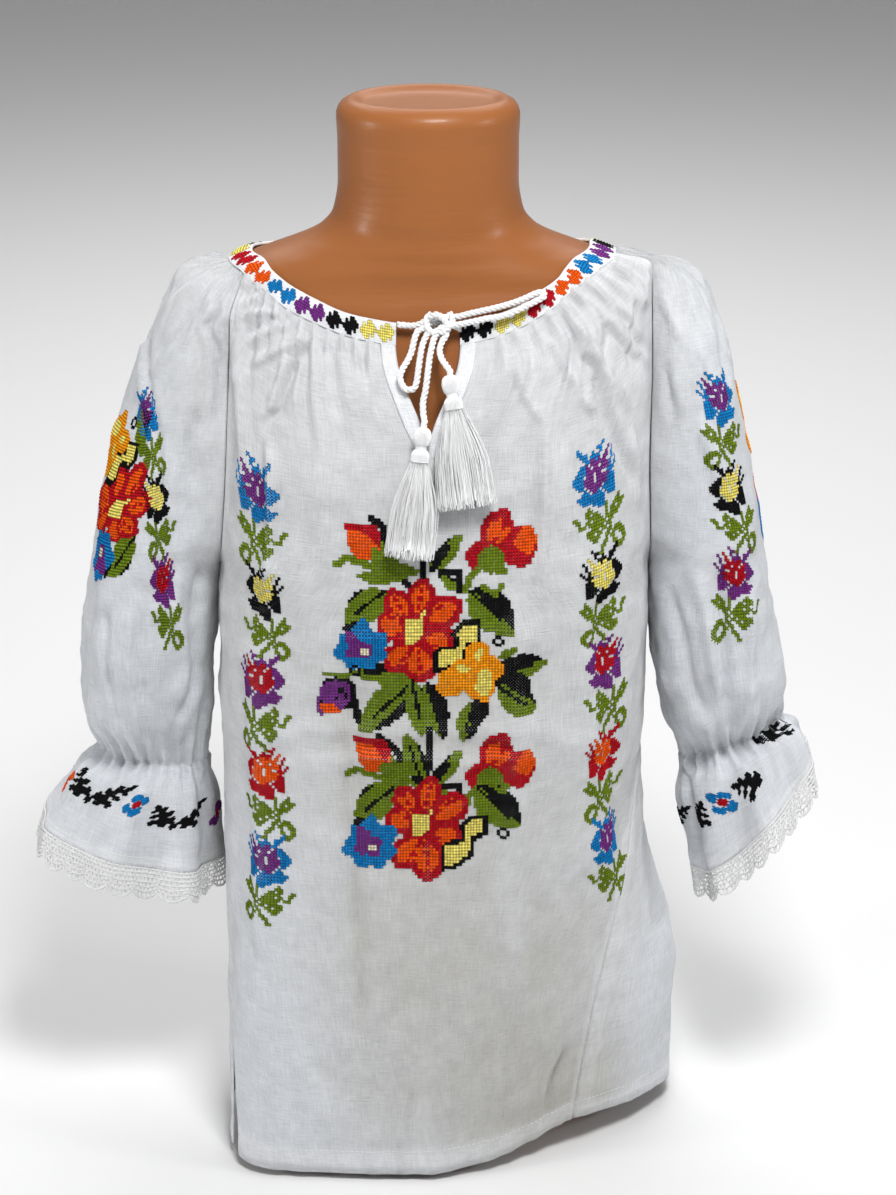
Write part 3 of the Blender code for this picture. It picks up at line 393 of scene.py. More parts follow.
def through(keys, values, at):
    """A smooth curve through the values at their keys, read at other places."""
    keys, values = np.asarray(keys, float), np.asarray(values, float)
    at = np.clip(np.asarray(at, float), keys[0], keys[-1])
    slope = slopes_of(keys, values)
    i = np.clip(np.searchsorted(keys, at, side="right") - 1, 0, len(keys) - 2)
    step = keys[i + 1] - keys[i]
    t = (at - keys[i]) / step
    shape = t.shape + (1,) * (values.ndim - 1)
    t, step = t.reshape(shape), step.reshape(shape)
    return hermite(t, step, values[i], slope[i], values[i + 1], slope[i + 1])


def ease(value, low, high):
    """0 below low, 1 above high, and smooth between."""
    t = np.clip((np.asarray(value, float) - low) / (high - low), 0, 1)
    return t * t * (3 - 2 * t)


def power_of(value, power):
    """The superellipse's signed power of a sine or cosine."""
    return np.sign(value) * np.abs(value) ** (2 / power)


def unit(vectors):
    return vectors / np.maximum(np.linalg.norm(vectors, axis=-1, keepdims=True), 1e-9)


def run_of(points):
    """The distance along a route at each of its points."""
    return np.concatenate([[0], np.cumsum(np.linalg.norm(np.diff(points, axis=0), axis=1))])


def at_distances(places, run, route):
    """Points of a route at distances along it."""
    return np.stack([np.interp(places, run, column) for column in np.transpose(route)], axis=-1)


FINE_STEPS = 12


def smooth_route(points, step):
    """Points at an even pace along a smooth curve through a route."""
    points = np.array(points, float)
    run = run_of(points)
    fine = through(run, points, np.linspace(0, run[-1], FINE_STEPS * len(points)))
    run = run_of(fine)
    return at_distances(np.linspace(0, run[-1], max(2, round(run[-1] / step)) + 1), run, fine)


def section_point(angle, minus_x, plus_x, front, back, powers):
    """The plan of a section at an angle in degrees, 0 at the front and 90 at +X."""
    sine, cosine = np.sin(np.radians(angle)), np.cos(np.radians(angle))
    minus_power, plus_power, back_power = powers
    front_power = np.where(sine < 0, minus_power, plus_power)
    power = np.where(cosine < 0, back_power, front_power)
    x = np.where(sine < 0, minus_x, plus_x) * power_of(sine, power)
    y = -np.where(cosine < 0, back, front) * power_of(cosine, power)
    return x, y


FORM = table(FORM_COLUMNS, FORM_LEVELS)
BAND = table(BAND_COLUMNS, BAND_LINE)
YOKE = table(YOKE_COLUMNS, YOKE_LINE)
SLIT = table(SLIT_COLUMNS, SLIT_ROWS)


# ---------------------------------------------------------------- surfaces
def form_point(z, angle):
    """A point of the form's skin at a height and an angle in degrees."""
    wide, deep, middle, power = (
        through(FORM["z"], FORM[name], z)
        for name in ("half_width", "half_depth", "y_middle", "power")
    )
    x, y = section_point(angle, wide, wide, deep, deep, (power, power, power))
    return np.stack([x, y + middle, np.broadcast_to(z, x.shape)], axis=-1)


def off_form(z, angle, distance):
    """A point that far outside the form's skin."""
    z, angle = np.broadcast_arrays(np.asarray(z, float), np.asarray(angle, float))
    up = form_point(z + 0.5, angle) - form_point(z - 0.5, angle)
    round_it = form_point(z, angle + 0.5) - form_point(z, angle - 0.5)
    return form_point(z, angle) + np.asarray(distance)[..., None] * unit(np.cross(round_it, up))


def turned(angle):
    """The same angle between -180 and 180."""
    return (np.asarray(angle, float) + 180) % 360 - 180


def band_edge(angle, side, distance):
    """The neckband's line: side is 1 at its upper edge and -1 at its lower edge."""
    signed = turned(angle)
    z = through(BAND["angle"], BAND["z"], signed)
    rise = through(BAND["angle"], BAND["rise"], signed)
    return off_form(z + side * rise, angle, distance)


def band_angle_at(x):
    """The angle near the front at which the band's middle line has this x."""
    angles = np.linspace(-60, 60, 481)
    return float(np.interp(x, band_edge(angles, 0, FORM_CLEARANCE + BAND_WALL)[:, 0], angles))


def evenly(section, places):
    """A section's points at an even pace on each side of its middle; places run from -1 to 1."""
    fine = np.linspace(-1, 1, 481)
    run = run_of(section(fine))
    run -= run[len(fine) // 2]
    share = np.where(run < 0, run / -run[0], run / run[-1])
    return section(np.interp(places, share, fine))


class Panel:
    """A cloth surface through its key sections, with its relief.

    A place on it is a row v, counted down from the neckband, and a place across from -1 to 1.
    Below its row closed_from, a sleeve's two edges are one.
    """

    steps = 1000

    def __init__(self, sections, facing, relief, closed_from=math.inf):
        places = np.linspace(-1, 1, self.steps + 1)
        self.sections = np.array([evenly(section, places) for section in sections])
        self.last_row = len(sections) - 1
        self.facing = facing
        self.relief = relief
        self.closed_from = closed_from

    def between(self, v, across):
        """The smooth surface through the sections, with no relief."""
        spot = (np.clip(across, -1, 1) + 1) / 2 * self.steps
        j = np.minimum(spot.astype(int), self.steps - 1)
        share = (spot - j)[:, None]
        columns = self.sections[:, j] * (1 - share) + self.sections[:, j + 1] * share
        v = np.clip(v, 0, self.last_row)
        slope = slopes_of(np.arange(self.last_row + 1), columns)
        i = np.minimum(v.astype(int), self.last_row - 1)
        k = np.arange(len(v))
        t = (v - i)[:, None]
        return hermite(t, 1.0, columns[i, k], slope[i, k], columns[i + 1, k], slope[i + 1, k])

    def plain(self, v, across):
        points = self.between(v, across)
        if self.closed_from > self.last_row:
            return points
        first, last = self.between(v, -np.ones(len(v))), self.between(v, np.ones(len(v)))
        toward = np.where(across[:, None] < 0, (last - first) / 2, (first - last) / 2)
        closing = ease(np.abs(across), 0.6, 1) * (v >= self.closed_from)
        return points + toward * closing[:, None]

    def normal(self, v, across):
        step = 0.02
        down = self.plain(v + step, across) - self.plain(np.maximum(v - step, 0), across)
        before, after = across - step, across + step
        closed = v >= self.closed_from
        before = np.where(closed, (before + 1) % 2 - 1, np.maximum(before, -1))
        after = np.where(closed, (after + 1) % 2 - 1, np.minimum(after, 1))
        along = self.plain(v, after) - self.plain(v, before)
        return unit(self.facing * np.cross(down, along))

    def at(self, v, across, lift=0.0, cloth=None):
        """Points of the relieved surface; cloth is the place across that the gathers count by."""
        v, across = np.broadcast_arrays(np.asarray(v, float), np.asarray(across, float))
        shape = v.shape
        v, across = v.ravel(), across.ravel()
        cloth = across if cloth is None else np.broadcast_to(cloth, shape).ravel()
        plain = self.plain(v, across)
        height = self.relief(cloth, v, plain) + np.broadcast_to(lift, shape).ravel()
        return (plain + self.normal(v, across) * height[:, None]).reshape((*shape, 3))

    def down_the_middle(self):
        """The numbers of the rows and how far down the middle each lies."""
        return np.arange(self.last_row + 1), run_of(self.sections[:, self.steps // 2])

    def half_length(self, v, side):
        """The length of half a row, from its middle to its edge on one side."""
        rows = np.arange(self.last_row + 1)
        half = self.sections[:, self.steps // 2 :] if side > 0 else self.sections[:, : self.steps // 2]
        lengths = np.linalg.norm(np.diff(half, axis=1), axis=2).sum(axis=1)
        return through(rows, lengths, v)


def angle_across(across, first, middle, last):
    """The angle at a place across, from the first at -1 through the middle at 0 to the last."""
    return middle + np.where(across < 0, middle - first, last - middle) * across


def body_section(row, first, middle, last, z_first, z_middle, z_last):
    """A section of the front or the back, as a function of the place across."""

    def points(across):
        angle = angle_across(across, first, middle, last)
        powers = (row["power_minus"], row["power_plus"], row["power_back"])
        x, y = section_point(
            angle, row["minus_x"], row["plus_x"], row["front"], row["back"], powers
        )
        z_end = np.where(across < 0, z_first, z_last)
        z = z_middle + (z_end - z_middle) * np.abs(across) ** 2.2
        return np.stack([x, y, z], axis=-1)

    return points


def front_section(row):
    first, last = -row["front_minus"], row["front_plus"]
    heights = (row["z_seam_minus"], row["z_front"], row["z_seam_plus"])
    return body_section(row, first, 0, last, *heights)


def back_section(row):
    first, last = row["back_plus"], 360 - row["back_minus"]
    heights = (row["z_seam_plus"], row["z_back"], row["z_seam_minus"])
    return body_section(row, first, 180, last, *heights)


def band_section(first, middle, last):
    """The section that hangs just below the neckband."""
    below = 1 + 2 * SEAM_GAP / BAND_WIDTH

    def points(across):
        angle = angle_across(across, first, middle, last)
        return band_edge(angle, -below, FORM_CLEARANCE + CLOTH_WALL)

    return points


def yoke_section(first, middle, last):
    """Row 1, which stands off the form."""

    def points(across):
        angle = angle_across(across, first, middle, last)
        z = through(YOKE["angle"], YOKE["z"], turned(angle))
        return off_form(z, angle, through(YOKE["angle"], YOKE["off"], turned(angle)))

    return points


def front_sections():
    return [
        band_section(-FRONT_TOP_MINUS, 0, FRONT_TOP_PLUS),
        yoke_section(-YOKE_ENDS["front_minus"], 0, YOKE_ENDS["front_plus"]),
        *(front_section(row) for row in rows_of(BODY_COLUMNS, BODY_SECTIONS)),
    ]


def back_sections():
    return [
        band_section(BACK_TOP, 180, 360 - BACK_TOP),
        yoke_section(YOKE_ENDS["back_plus"], 180, 360 - YOKE_ENDS["back_minus"]),
        *(back_section(row) for row in rows_of(BODY_COLUMNS, BODY_SECTIONS)),
    ]


def shoulder_half(row, end, side, sign):
    """Half of an open sleeve section, from the armhole's end at t 0 to the outside at t 1."""
    middle, depth = row["y_middle"], row["half_depth"]
    gap = abs(end[1] - middle)
    opening = math.asin(min(gap / depth, 1) ** (row["power"] / 2))
    start_x, first = abs(end[0]), power_of(math.cos(opening), row["power"])

    def points(t):
        angle = opening + (math.pi - opening) * t
        out = (first - power_of(np.cos(angle), row["power"])) / (1 + first)
        x = start_x + (row["reach"] - start_x) * out
        y = middle + sign * max(gap, depth) * power_of(np.sin(angle), row["power"])
        z = end[2] + (row["z_outer"] - end[2]) * out
        return np.stack([side * x, y, z], axis=-1)

    return points


def shoulder_section(row, side):
    """An open sleeve section over the shoulder, from the front armhole round to the back one."""
    front_end = front_sections()[row["v"]](np.array([float(side)]))[0]
    back_end = back_sections()[row["v"]](np.array([-float(side)]))[0]
    front_half = shoulder_half(row, front_end, side, -1)
    back_half = shoulder_half(row, back_end, side, 1)

    def points(across):
        to_outside = 1 - np.abs(across)
        return np.where(across[:, None] <= 0, front_half(to_outside), back_half(to_outside))

    return points


def arm_section(row, side):
    """A closed sleeve ring that starts and ends beside the body."""
    middle, radius = (row["outer"] + row["inner"]) / 2, (row["outer"] - row["inner"]) / 2

    def points(across):
        angle = math.pi * (across + 1)
        outward = -power_of(np.cos(angle), row["power"])
        y = row["y_middle"] - row["half_depth"] * power_of(np.sin(angle), row["power"])
        z = row["z_inner"] + (row["z_outer"] - row["z_inner"]) * (outward + 1) / 2
        return np.stack([side * (middle + radius * outward), y, z], axis=-1)

    return points


def sleeve_sections(side, front_top, shoulder_rows, arm_rows):
    sections = [band_section(side * front_top, side * (front_top + BACK_TOP) / 2, side * BACK_TOP)]
    sections += [shoulder_section(row, side) for row in rows_of(SHOULDER_COLUMNS, shoulder_rows)]
    sections += [arm_section(row, side) for row in rows_of(ARM_COLUMNS, arm_rows)]
    return sections


# ---------------------------------------------------------------- relief
def away_from(route, x, z):
    """Distance to a route of x, z, the side of it (1 towards +X), and the share of its length."""
    route = np.array(route, float)
    run = run_of(route)
    best = np.full(x.shape, np.inf)
    side, share = np.zeros(x.shape), np.zeros(x.shape)
    for k in range(len(route) - 1):
        step = route[k + 1] - route[k]
        t = ((x - route[k, 0]) * step[0] + (z - route[k, 1]) * step[1]) / (step @ step)
        t = np.clip(t, 0, 1)
        dx, dz = x - route[k, 0] - t * step[0], z - route[k, 1] - t * step[1]
        distance = np.hypot(dx, dz)
        nearer = distance < best
        best = np.where(nearer, distance, best)
        side = np.where(nearer, np.sign(dx), side)
        share = np.where(nearer, (run[k] + t * (run[k + 1] - run[k])) / run[-1], share)
    return best, side, share


CREASE_DEPTH = 2.4
CREASE_STEEP = 1.2
BODY_CREASE_STEEP = 1.75


def crease_relief(creases, points, steep=CREASE_STEEP):
    """The height of all creases at points of one face of a panel."""
    x, z = points[:, 0], points[:, 2]
    total = np.zeros(len(points))
    for row in rows_of(CREASE_COLUMNS, creases):
        distance, side, share = away_from(row["route"], x, z)
        along = ease(share, -0.01, 0.12) * (1 - ease(share, 0.7, 1.02))
        width = row["half_width"]
        shape = np.exp(-((distance / width) ** 2))
        if row["ridge_side"]:
            beside = distance * side * row["ridge_side"] / width
            shape = shape - 0.55 * np.exp(-((beside - 1.9) ** 2) / 1.1)
        height = np.clip(CREASE_DEPTH * row["height"], -steep * width, steep * width)
        total += height * along * shape
    return total


def make_gathers(seed, count, tallest, longest):
    """Small uneven gathers under the neckband: place across, half width, height, row of its end."""
    draw = np.random.default_rng(seed)
    places = np.linspace(-0.99, 0.99, count) + draw.uniform(-0.35, 0.35, count) / count
    widths = draw.uniform(0.009, 0.017, count)
    heights = tallest * draw.uniform(0.45, 1.0, count) * np.where(np.arange(count) % 2, 1, -1)
    ends = draw.uniform(0.35, 0.95, count) + (longest - 0.5) * draw.uniform(0, 1, count) ** 3
    return np.stack([places, widths, heights, ends], axis=1)


def gather_relief(gathers, cloth, v):
    total = np.zeros(len(cloth))
    for place, width, height, end in gathers:
        spread = width * (1 + 0.5 * np.minimum(v, 2))
        fade = (0.5 + 0.5 * ease(v, 0.0, 0.12)) * (1 - ease(v, 0.35 * end, end))
        total += height * fade * np.exp(-(((cloth - place) / spread) ** 2))
    return total


def clear_of_form(folds, v):
    """Under the neckband the cloth lies close over the form, so a trough stays shallow there."""
    return np.maximum(folds, -0.35 - 4.0 * ease(v, 0.05, 1.0))


def pulled_in(gathers, cloth, v):
    """Gathers that run up and down from the elastic, wider the farther they run."""
    total = np.zeros(len(cloth))
    far = np.abs(v - ELASTIC_ROW)
    for place, width, height, end in gathers:
        spread = 1.5 * width * (1 + 1.2 * far)
        from_place = np.abs((cloth - place + 1) % 2 - 1)
        fade = 1 - ease(far, 0.5 * end, 2.2 * end)
        total += height * fade * np.exp(-((from_place / spread) ** 2))
    return total


def crumple(points, size, height, seed):
    """Soft unevenness of worn cloth."""
    offset = Vector((seed * 17.0, seed * 5.0, seed * 3.0))
    values = [noise.fractal(Vector(p) / size + offset, 0.9, 2.1, 3) for p in points]
    return height * np.array(values)


def hem_relief(v):
    """The doubled hem stands out over its height, with a dip at its line of stitches."""
    start = LAST_ROW - HEM_ROWS
    stitched = 0.35 * np.exp(-(((v - start - 0.012) / 0.012) ** 2))
    return 0.4 * ease(v, start - 0.02, start) - stitched


# half the width of a panel of the body and of a sleeve, by which a seam's sizes are true
BODY_HALF = 120.0
SLEEVE_HALF = 110.0
SEAM_RIDGE = 0.35
SEAM_DIP = 0.25
SEAM_DIP_WIDTH = 0.7


def seam_dip(from_edge):
    """The furrow along the stitches of a seam."""
    return -SEAM_DIP * np.exp(-((from_edge / SEAM_DIP_WIDTH) ** 2))


def seam_relief(cloth):
    """The seam at a panel's edge: a low ridge over the turned allowance and a dip at the seam."""
    from_edge = (1 - np.abs(cloth)) * BODY_HALF
    ridge = SEAM_RIDGE * (1 - ease(from_edge, 4.2, 5.4)) * ease(from_edge, 0.0, 1.6)
    return ridge + seam_dip(from_edge)


FRONT_GATHERS = make_gathers(3, 50, 4.0, 3.8)
BACK_GATHERS = make_gathers(8, 50, 2.8, 3.2)
SHOULDER_GATHERS = make_gathers(5, 22, 1.9, 2.6)
ELASTIC_ROW = 8.0
ELASTIC_GATHERS = {11: make_gathers(12, 48, 2.6, 2.0), 21: make_gathers(22, 48, 2.6, 2.0)}


def body_folds(gathers, creases, cloth, v, points, tall, seed):
    """The folds of the front or the back; tall is the height of its broad unevenness."""
    folds = gather_relief(gathers, cloth, v) + crease_relief(creases, points, BODY_CREASE_STEEP)
    folds = folds + crumple(points, 26.0, tall, seed) + crumple(points, 8.0, 0.34, seed + 1)
    return clear_of_form(folds, v)


def front_relief(cloth, v, points):
    """Beside the slit the front lies flat, under the facing."""
    flat = (1 - ease(np.abs(cloth), 0.10, 0.17)) * (1 - ease(v, 2.6, 3.3))
    edge = 1 - ease(np.abs(cloth), 0.95, 1.0)
    folds = body_folds(FRONT_GATHERS, FRONT_CREASES, cloth, v, points, 1.7, 1)
    return folds * (1 - flat) * edge + seam_relief(cloth) + hem_relief(v)


def back_relief(cloth, v, points):
    edge = 1 - ease(np.abs(cloth), 0.95, 1.0)
    folds = body_folds(BACK_GATHERS, BACK_CREASES, cloth, v, points, 1.8, 3)
    return folds * edge + seam_relief(cloth) + hem_relief(v)


# The creases behind a sleeve are those in front, shifted by this.
BEHIND_SHIFT = np.array([3.0, 0, -6.0])
SHIRR_FOLDS = 30
SHIRR_WAVES = 16
PINCH_DEPTH = 1.1
PINCH_ROWS = 0.10
RUFFLE_HEIGHT = 3.2
RIPPLES = 17
RIPPLE_HEIGHT = 0.9


def sleeve_relief(creases, seed):
    """The relief of a sleeve: its creases in front and behind, the shirring and the ruffle."""
    draw = np.random.default_rng(seed)
    shirr_turns = draw.uniform(0, 2 * math.pi, 3)

    def relief(cloth, v, points):
        turn = math.pi * (cloth + 1)
        edge = 1 - ease(np.abs(cloth), 0.93, 1.0) * (1 - ease(v, 4.9, 5.9))
        in_front = crease_relief(creases, points)
        folds = np.where(cloth < 0, in_front, crease_relief(creases, points + BEHIND_SHIFT))
        folds = folds * ease(np.abs(cloth), 0.0, 0.05) + gather_relief(SHOULDER_GATHERS, cloth, v)
        folds = folds + crumple(points, 24.0, 1.7, seed) + crumple(points, 7.0, 0.3, seed + 1)
        uneven = 0.35 * np.sin(turn * 3 + shirr_turns[0]) + 0.25 * np.sin(turn * 7 + shirr_turns[1])
        fine = np.cos(SHIRR_FOLDS * (turn + 0.12 * np.sin(5 * turn + shirr_turns[2])))
        near = ease(v, 7.25, 7.9) * (1 - ease(v, 8.15, 8.9))
        shirring = (0.75 + uneven * 0.6) * fine * near + 0.9 * np.cos(SHIRR_WAVES * turn) * near
        pinch = -PINCH_DEPTH * np.exp(-(((v - ELASTIC_ROW) / PINCH_ROWS) ** 2))
        waves = RUFFLE_HEIGHT * np.cos(RUFFLE_WAVES * turn + 0.7 * np.sin(turn)) * ease(v, 8.4, 10.0)
        ripple = RIPPLE_HEIGHT * np.cos(RIPPLES * turn + 2 * np.sin(3 * turn))
        small = ripple * ease(v, 8.2, 9.0) * (1 - ease(v, 9.2, 10.0))
        seam = seam_dip((1 - np.abs(cloth)) * SLEEVE_HALF) * (1 - ease(v, 4.9, 5.1))
        pulled = pulled_in(ELASTIC_GATHERS[seed], cloth, v)
        return folds * edge + shirring + pinch + waves + small + seam + pulled

    return relief


def make_panels():
    """The surfaces of the front, the back and both sleeves."""
    right = sleeve_sections(-1, FRONT_TOP_MINUS, SHOULDER_RIGHT, ARM_RIGHT)
    left = sleeve_sections(1, FRONT_TOP_PLUS, SHOULDER_LEFT, ARM_LEFT)
    relief_right = sleeve_relief(SLEEVE_RIGHT_CREASES, 11)
    relief_left = sleeve_relief(SLEEVE_LEFT_CREASES, 21)
    return {
        "front": Panel(front_sections(), 1, front_relief),
        "back": Panel(back_sections(), 1, back_relief),
        "sleeve_right": Panel(right, -1, relief_right, ARMPIT_ROW),
        "sleeve_left": Panel(left, 1, relief_left, ARMPIT_ROW),
    }


# ---------------------------------------------------------------- meshes
def numbered(rows, columns):
    """The corner numbers of a grid of points."""
    return np.arange(rows * columns).reshape(rows, columns)


def rounded(index):
    """Corner numbers whose last column is joined to the first."""
    return np.concatenate([index, index[:, :1]], axis=1)


def grid_faces(index, facing):
    """Faces of a grid of corner numbers, turned outward."""
    up, low = index[:-1], index[1:]
    faces = np.stack([up[:, 1:], up[:, :-1], low[:, :-1], low[:, 1:]], axis=-1).reshape(-1, 4)
    return faces if facing > 0 else faces[:, ::-1]


def face_list(index, facing):
    return [tuple(face) for face in grid_faces(index, facing)]


def new_object(name, data):
    made = bpy.data.objects.new(name, data)
    bpy.context.scene.collection.objects.link(made)
    return made


def new_mesh(name, points, faces, finish, attributes=None):
    """A mesh object in metres from points in millimetres, with its point attributes."""
    mesh = bpy.data.meshes.new(name)
    mesh.from_pydata((np.asarray(points) * MM).tolist(), [], [list(face) for face in faces])
    for key, values in (attributes or {}).items():
        values = np.asarray(values, np.float32)
        if values.ndim == 1:
            layer = mesh.attributes.new(key, "FLOAT", "POINT")
            layer.data.foreach_set("value", values)
        elif values.shape[1] == 3:
            layer = mesh.attributes.new(key, "FLOAT_VECTOR", "POINT")
            layer.data.foreach_set("vector", values.ravel())
        else:
            layer = mesh.attributes.new(key, "FLOAT_COLOR", "POINT")
            layer.data.foreach_set("color", values.ravel())
    mesh.materials.append(finish)
    mesh.shade_smooth()
    return new_object(name, mesh)


def place_piece(piece, slot, *nodes):
    """A piece rides on the body and stands for its CAD nodes, which are hidden. Its slot is not used.
    """
    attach(piece, BODY)
    if nodes:
        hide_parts(*nodes)
    return piece


def add_wall(piece, wall):
    solid = piece.modifiers.new("wall", "SOLIDIFY")
    solid.thickness = wall * MM
    solid.offset = -1
    solid.use_even_offset = False
    solid.use_rim = True


def compact(points, faces, attributes):
    """Drops the corners that no face uses."""
    used = np.unique(faces)
    number = np.zeros(len(points), int)
    number[used] = np.arange(len(used))
    return points[used], number[faces], {key: values[used] for key, values in attributes.items()}


def slit_half_width(v):
    return through(SLIT["v"], SLIT["half_width"], v)


# A place across, near the middle, by whose x the width of half a panel is judged.
FIFTH = 0.2


def beside_slit(panel, v, cloth, side):
    """Places across for places on the cloth once the slit has pushed that half of it aside."""
    fifth = panel.plain(v.ravel(), np.full(v.size, side * FIFTH))
    reach = (np.abs(fifth[:, 0]) / FIFTH).reshape(v.shape)
    return cloth + (side - cloth) * slit_half_width(v) / reach


def under_band(points):
    """The same rows with one more above them, tucked under the neckband."""
    up = unit(points[0] - points[1])
    return np.concatenate([(points[0] + up * TUCK)[None], points])


# ---------------------------------------------------------------- materials
class Finish:
    """A material's nodes, made one after another."""

    def __init__(self, name, roughness, colour=(0.8, 0.8, 0.8)):
        self.material = bpy.data.materials.new(name)
        self.material.use_nodes = True
        self.tree = self.material.node_tree
        self.shader = self.tree.nodes["Principled BSDF"]
        self.shader.inputs["Base Color"].default_value = (*colour, 1)
        self.shader.inputs["Roughness"].default_value = roughness
        self.shader.inputs["Metallic"].default_value = 0

    def node(self, kind, inputs=None, **settings):
        made = self.tree.nodes.new(kind)
        for key, value in settings.items():
            setattr(made, key, value)
        for key, value in (inputs or {}).items():
            if isinstance(value, bpy.types.NodeSocket):
                self.tree.links.new(value, made.inputs[key])
            else:
                made.inputs[key].default_value = value
        return made

    def attribute(self, name, output="Fac"):
        return self.node("ShaderNodeAttribute", attribute_name=name).outputs[output]

    def maths(self, operation, first, second=0.5):
        return self.node("ShaderNodeMath", {0: first, 1: second}, operation=operation).outputs[0]

    def mix(self, share, first, second):
        inputs = {0: share, 6: first, 7: second}
        return self.node("ShaderNodeMix", inputs, data_type="RGBA").outputs[2]

    def noise(self, where, scale, detail=2.0, stretch=(1, 1, 1)):
        place = self.node("ShaderNodeMapping", {"Vector": where, "Scale": stretch}).outputs[0]
        inputs = {"Vector": place, "Scale": scale, "Detail": detail, "Roughness": 0.55}
        return self.node("ShaderNodeTexNoise", inputs).outputs["Fac"]

    def wave(self, where, scale, direction, distortion=0.0):
        inputs = {"Vector": where, "Scale": scale, "Distortion": distortion, "Detail": 1.0}
        settings = {"wave_type": "BANDS", "bands_direction": direction, "wave_profile": "SIN"}
        return self.node("ShaderNodeTexWave", inputs, **settings).outputs["Fac"]

    def spread(self, value, low, high, darkest, lightest):
        """A value between low and high turned into one between darkest and lightest."""
        inputs = {0: value, 1: low, 2: high, 3: darkest, 4: lightest}
        return self.node("ShaderNodeMapRange", inputs).outputs[0]

    def shaded(self, colour, value):
        """A colour made lighter or darker by a value."""
        grey = self.node("ShaderNodeCombineColor", {0: value, 1: value, 2: value}).outputs[0]
        inputs = {0: 1.0, 6: colour, 7: grey}
        settings = {"data_type": "RGBA", "blend_type": "MULTIPLY"}
        return self.node("ShaderNodeMix", inputs, **settings).outputs[2]

    def bump(self, height, distance, strength=1.0, under=None):
        inputs = {"Height": height, "Distance": distance, "Strength": strength}
        if under is not None:
            inputs["Normal"] = under
        return self.node("ShaderNodeBump", inputs).outputs["Normal"]

    def colour(self, socket):
        self.tree.links.new(socket, self.shader.inputs["Base Color"])

    def normal(self, socket):
        self.tree.links.new(socket, self.shader.inputs["Normal"])

    def sheen(self, weight, roughness=0.5):
        self.shader.inputs["Sheen Weight"].default_value = weight
        self.shader.inputs["Sheen Roughness"].default_value = roughness


SINGLE_CLOTH = (0.68, 0.70, 0.735, 1)
DOUBLE_CLOTH = (0.82, 0.83, 0.855, 1)
# the form's brown painted as seen through the cloth, which is also painted shade low on the body
FORM_TINT_AND_SHADE_CLOTH = (0.455, 0.44, 0.395, 1)
# darkest and lightest: single threads, and broad patches
SLUB_SHADES = (0.86, 1.11)
CLOUD_SHADES = (0.92, 1.05)
# how fast the yarn's thickness changes across and along a thread
SLUB_STRETCH = (1.5, 0.10)
WEAVE_SCALE = 0.42


def cotton_finish(name):
    """Plain woven cotton: "thread" holds the place on the cloth in millimetres, "plies" is 1 where
    the cloth is doubled, and "form" holds a painted tint of the form's brown, as seen through the
    cloth where the form lies close behind it, with painted shade that darkens the cloth lower down."""
    finish = Finish(name, 0.92)
    thread = finish.attribute("thread", "Vector")
    warp = finish.noise(thread, 1.0, 4.0, (*SLUB_STRETCH, 1))
    weft = finish.noise(thread, 1.0, 4.0, (*SLUB_STRETCH[::-1], 1))
    slubs = finish.maths("ADD", warp, weft)
    cloud = finish.noise(thread, 0.09, 4.0)
    # the painted form tint and painted shade are mixed into the cloth's colour
    single = finish.mix(finish.attribute("form"), SINGLE_CLOTH, FORM_TINT_AND_SHADE_CLOTH)
    cloth = finish.mix(finish.attribute("plies"), single, DOUBLE_CLOTH)
    shade = finish.spread(slubs, 0.7, 1.3, *SLUB_SHADES)
    soft = finish.spread(cloud, 0.3, 0.7, *CLOUD_SHADES)
    finish.colour(finish.shaded(cloth, finish.maths("MULTIPLY", shade, soft)))
    across = finish.wave(thread, WEAVE_SCALE, "X", 0.6)
    along = finish.wave(thread, WEAVE_SCALE, "Y", 0.6)
    weave = finish.maths("MULTIPLY", across, along)
    rough = finish.bump(slubs, 0.0004)
    finish.normal(finish.bump(weave, 0.00007, 1.0, rough))
    finish.sheen(0.12)
    return finish.material


def thread_finish(name, colour, roughness=0.6, grain=0.00005):
    """Cotton thread: fine strands and a soft sheen."""
    finish = Finish(name, roughness)
    where = finish.node("ShaderNodeTexCoord").outputs["Object"]
    patches = finish.noise(where, 900.0, 2.0)
    cloud = finish.noise(where, 60.0, 2.0)
    dark = tuple(value * 0.86 for value in colour)
    finish.colour(finish.mix(finish.maths("MULTIPLY", patches, cloud), (*dark, 1), (*colour, 1)))
    finish.normal(finish.bump(finish.noise(where, 2600.0, 2.0), grain))
    finish.sheen(0.25)
    return finish.material


def stitch_finish():
    """Embroidery thread, whose colour is a point attribute: the dye, with painted shade at each
    thread's ends and a painted highlight at its middle.
    """
    finish = Finish("embroidery_cotton", 0.8)
    where = finish.node("ShaderNodeTexCoord").outputs["Object"]
    dye = finish.attribute("dye", "Color")
    shade = finish.spread(finish.noise(where, 700.0, 2.0), 0.3, 0.7, 0.86, 1.1)
    finish.colour(finish.shaded(dye, shade))
    finish.normal(finish.bump(finish.noise(where, 3000.0, 2.0), 0.00006))
    finish.shader.inputs["Specular IOR Level"].default_value = 0.08
    return finish.material


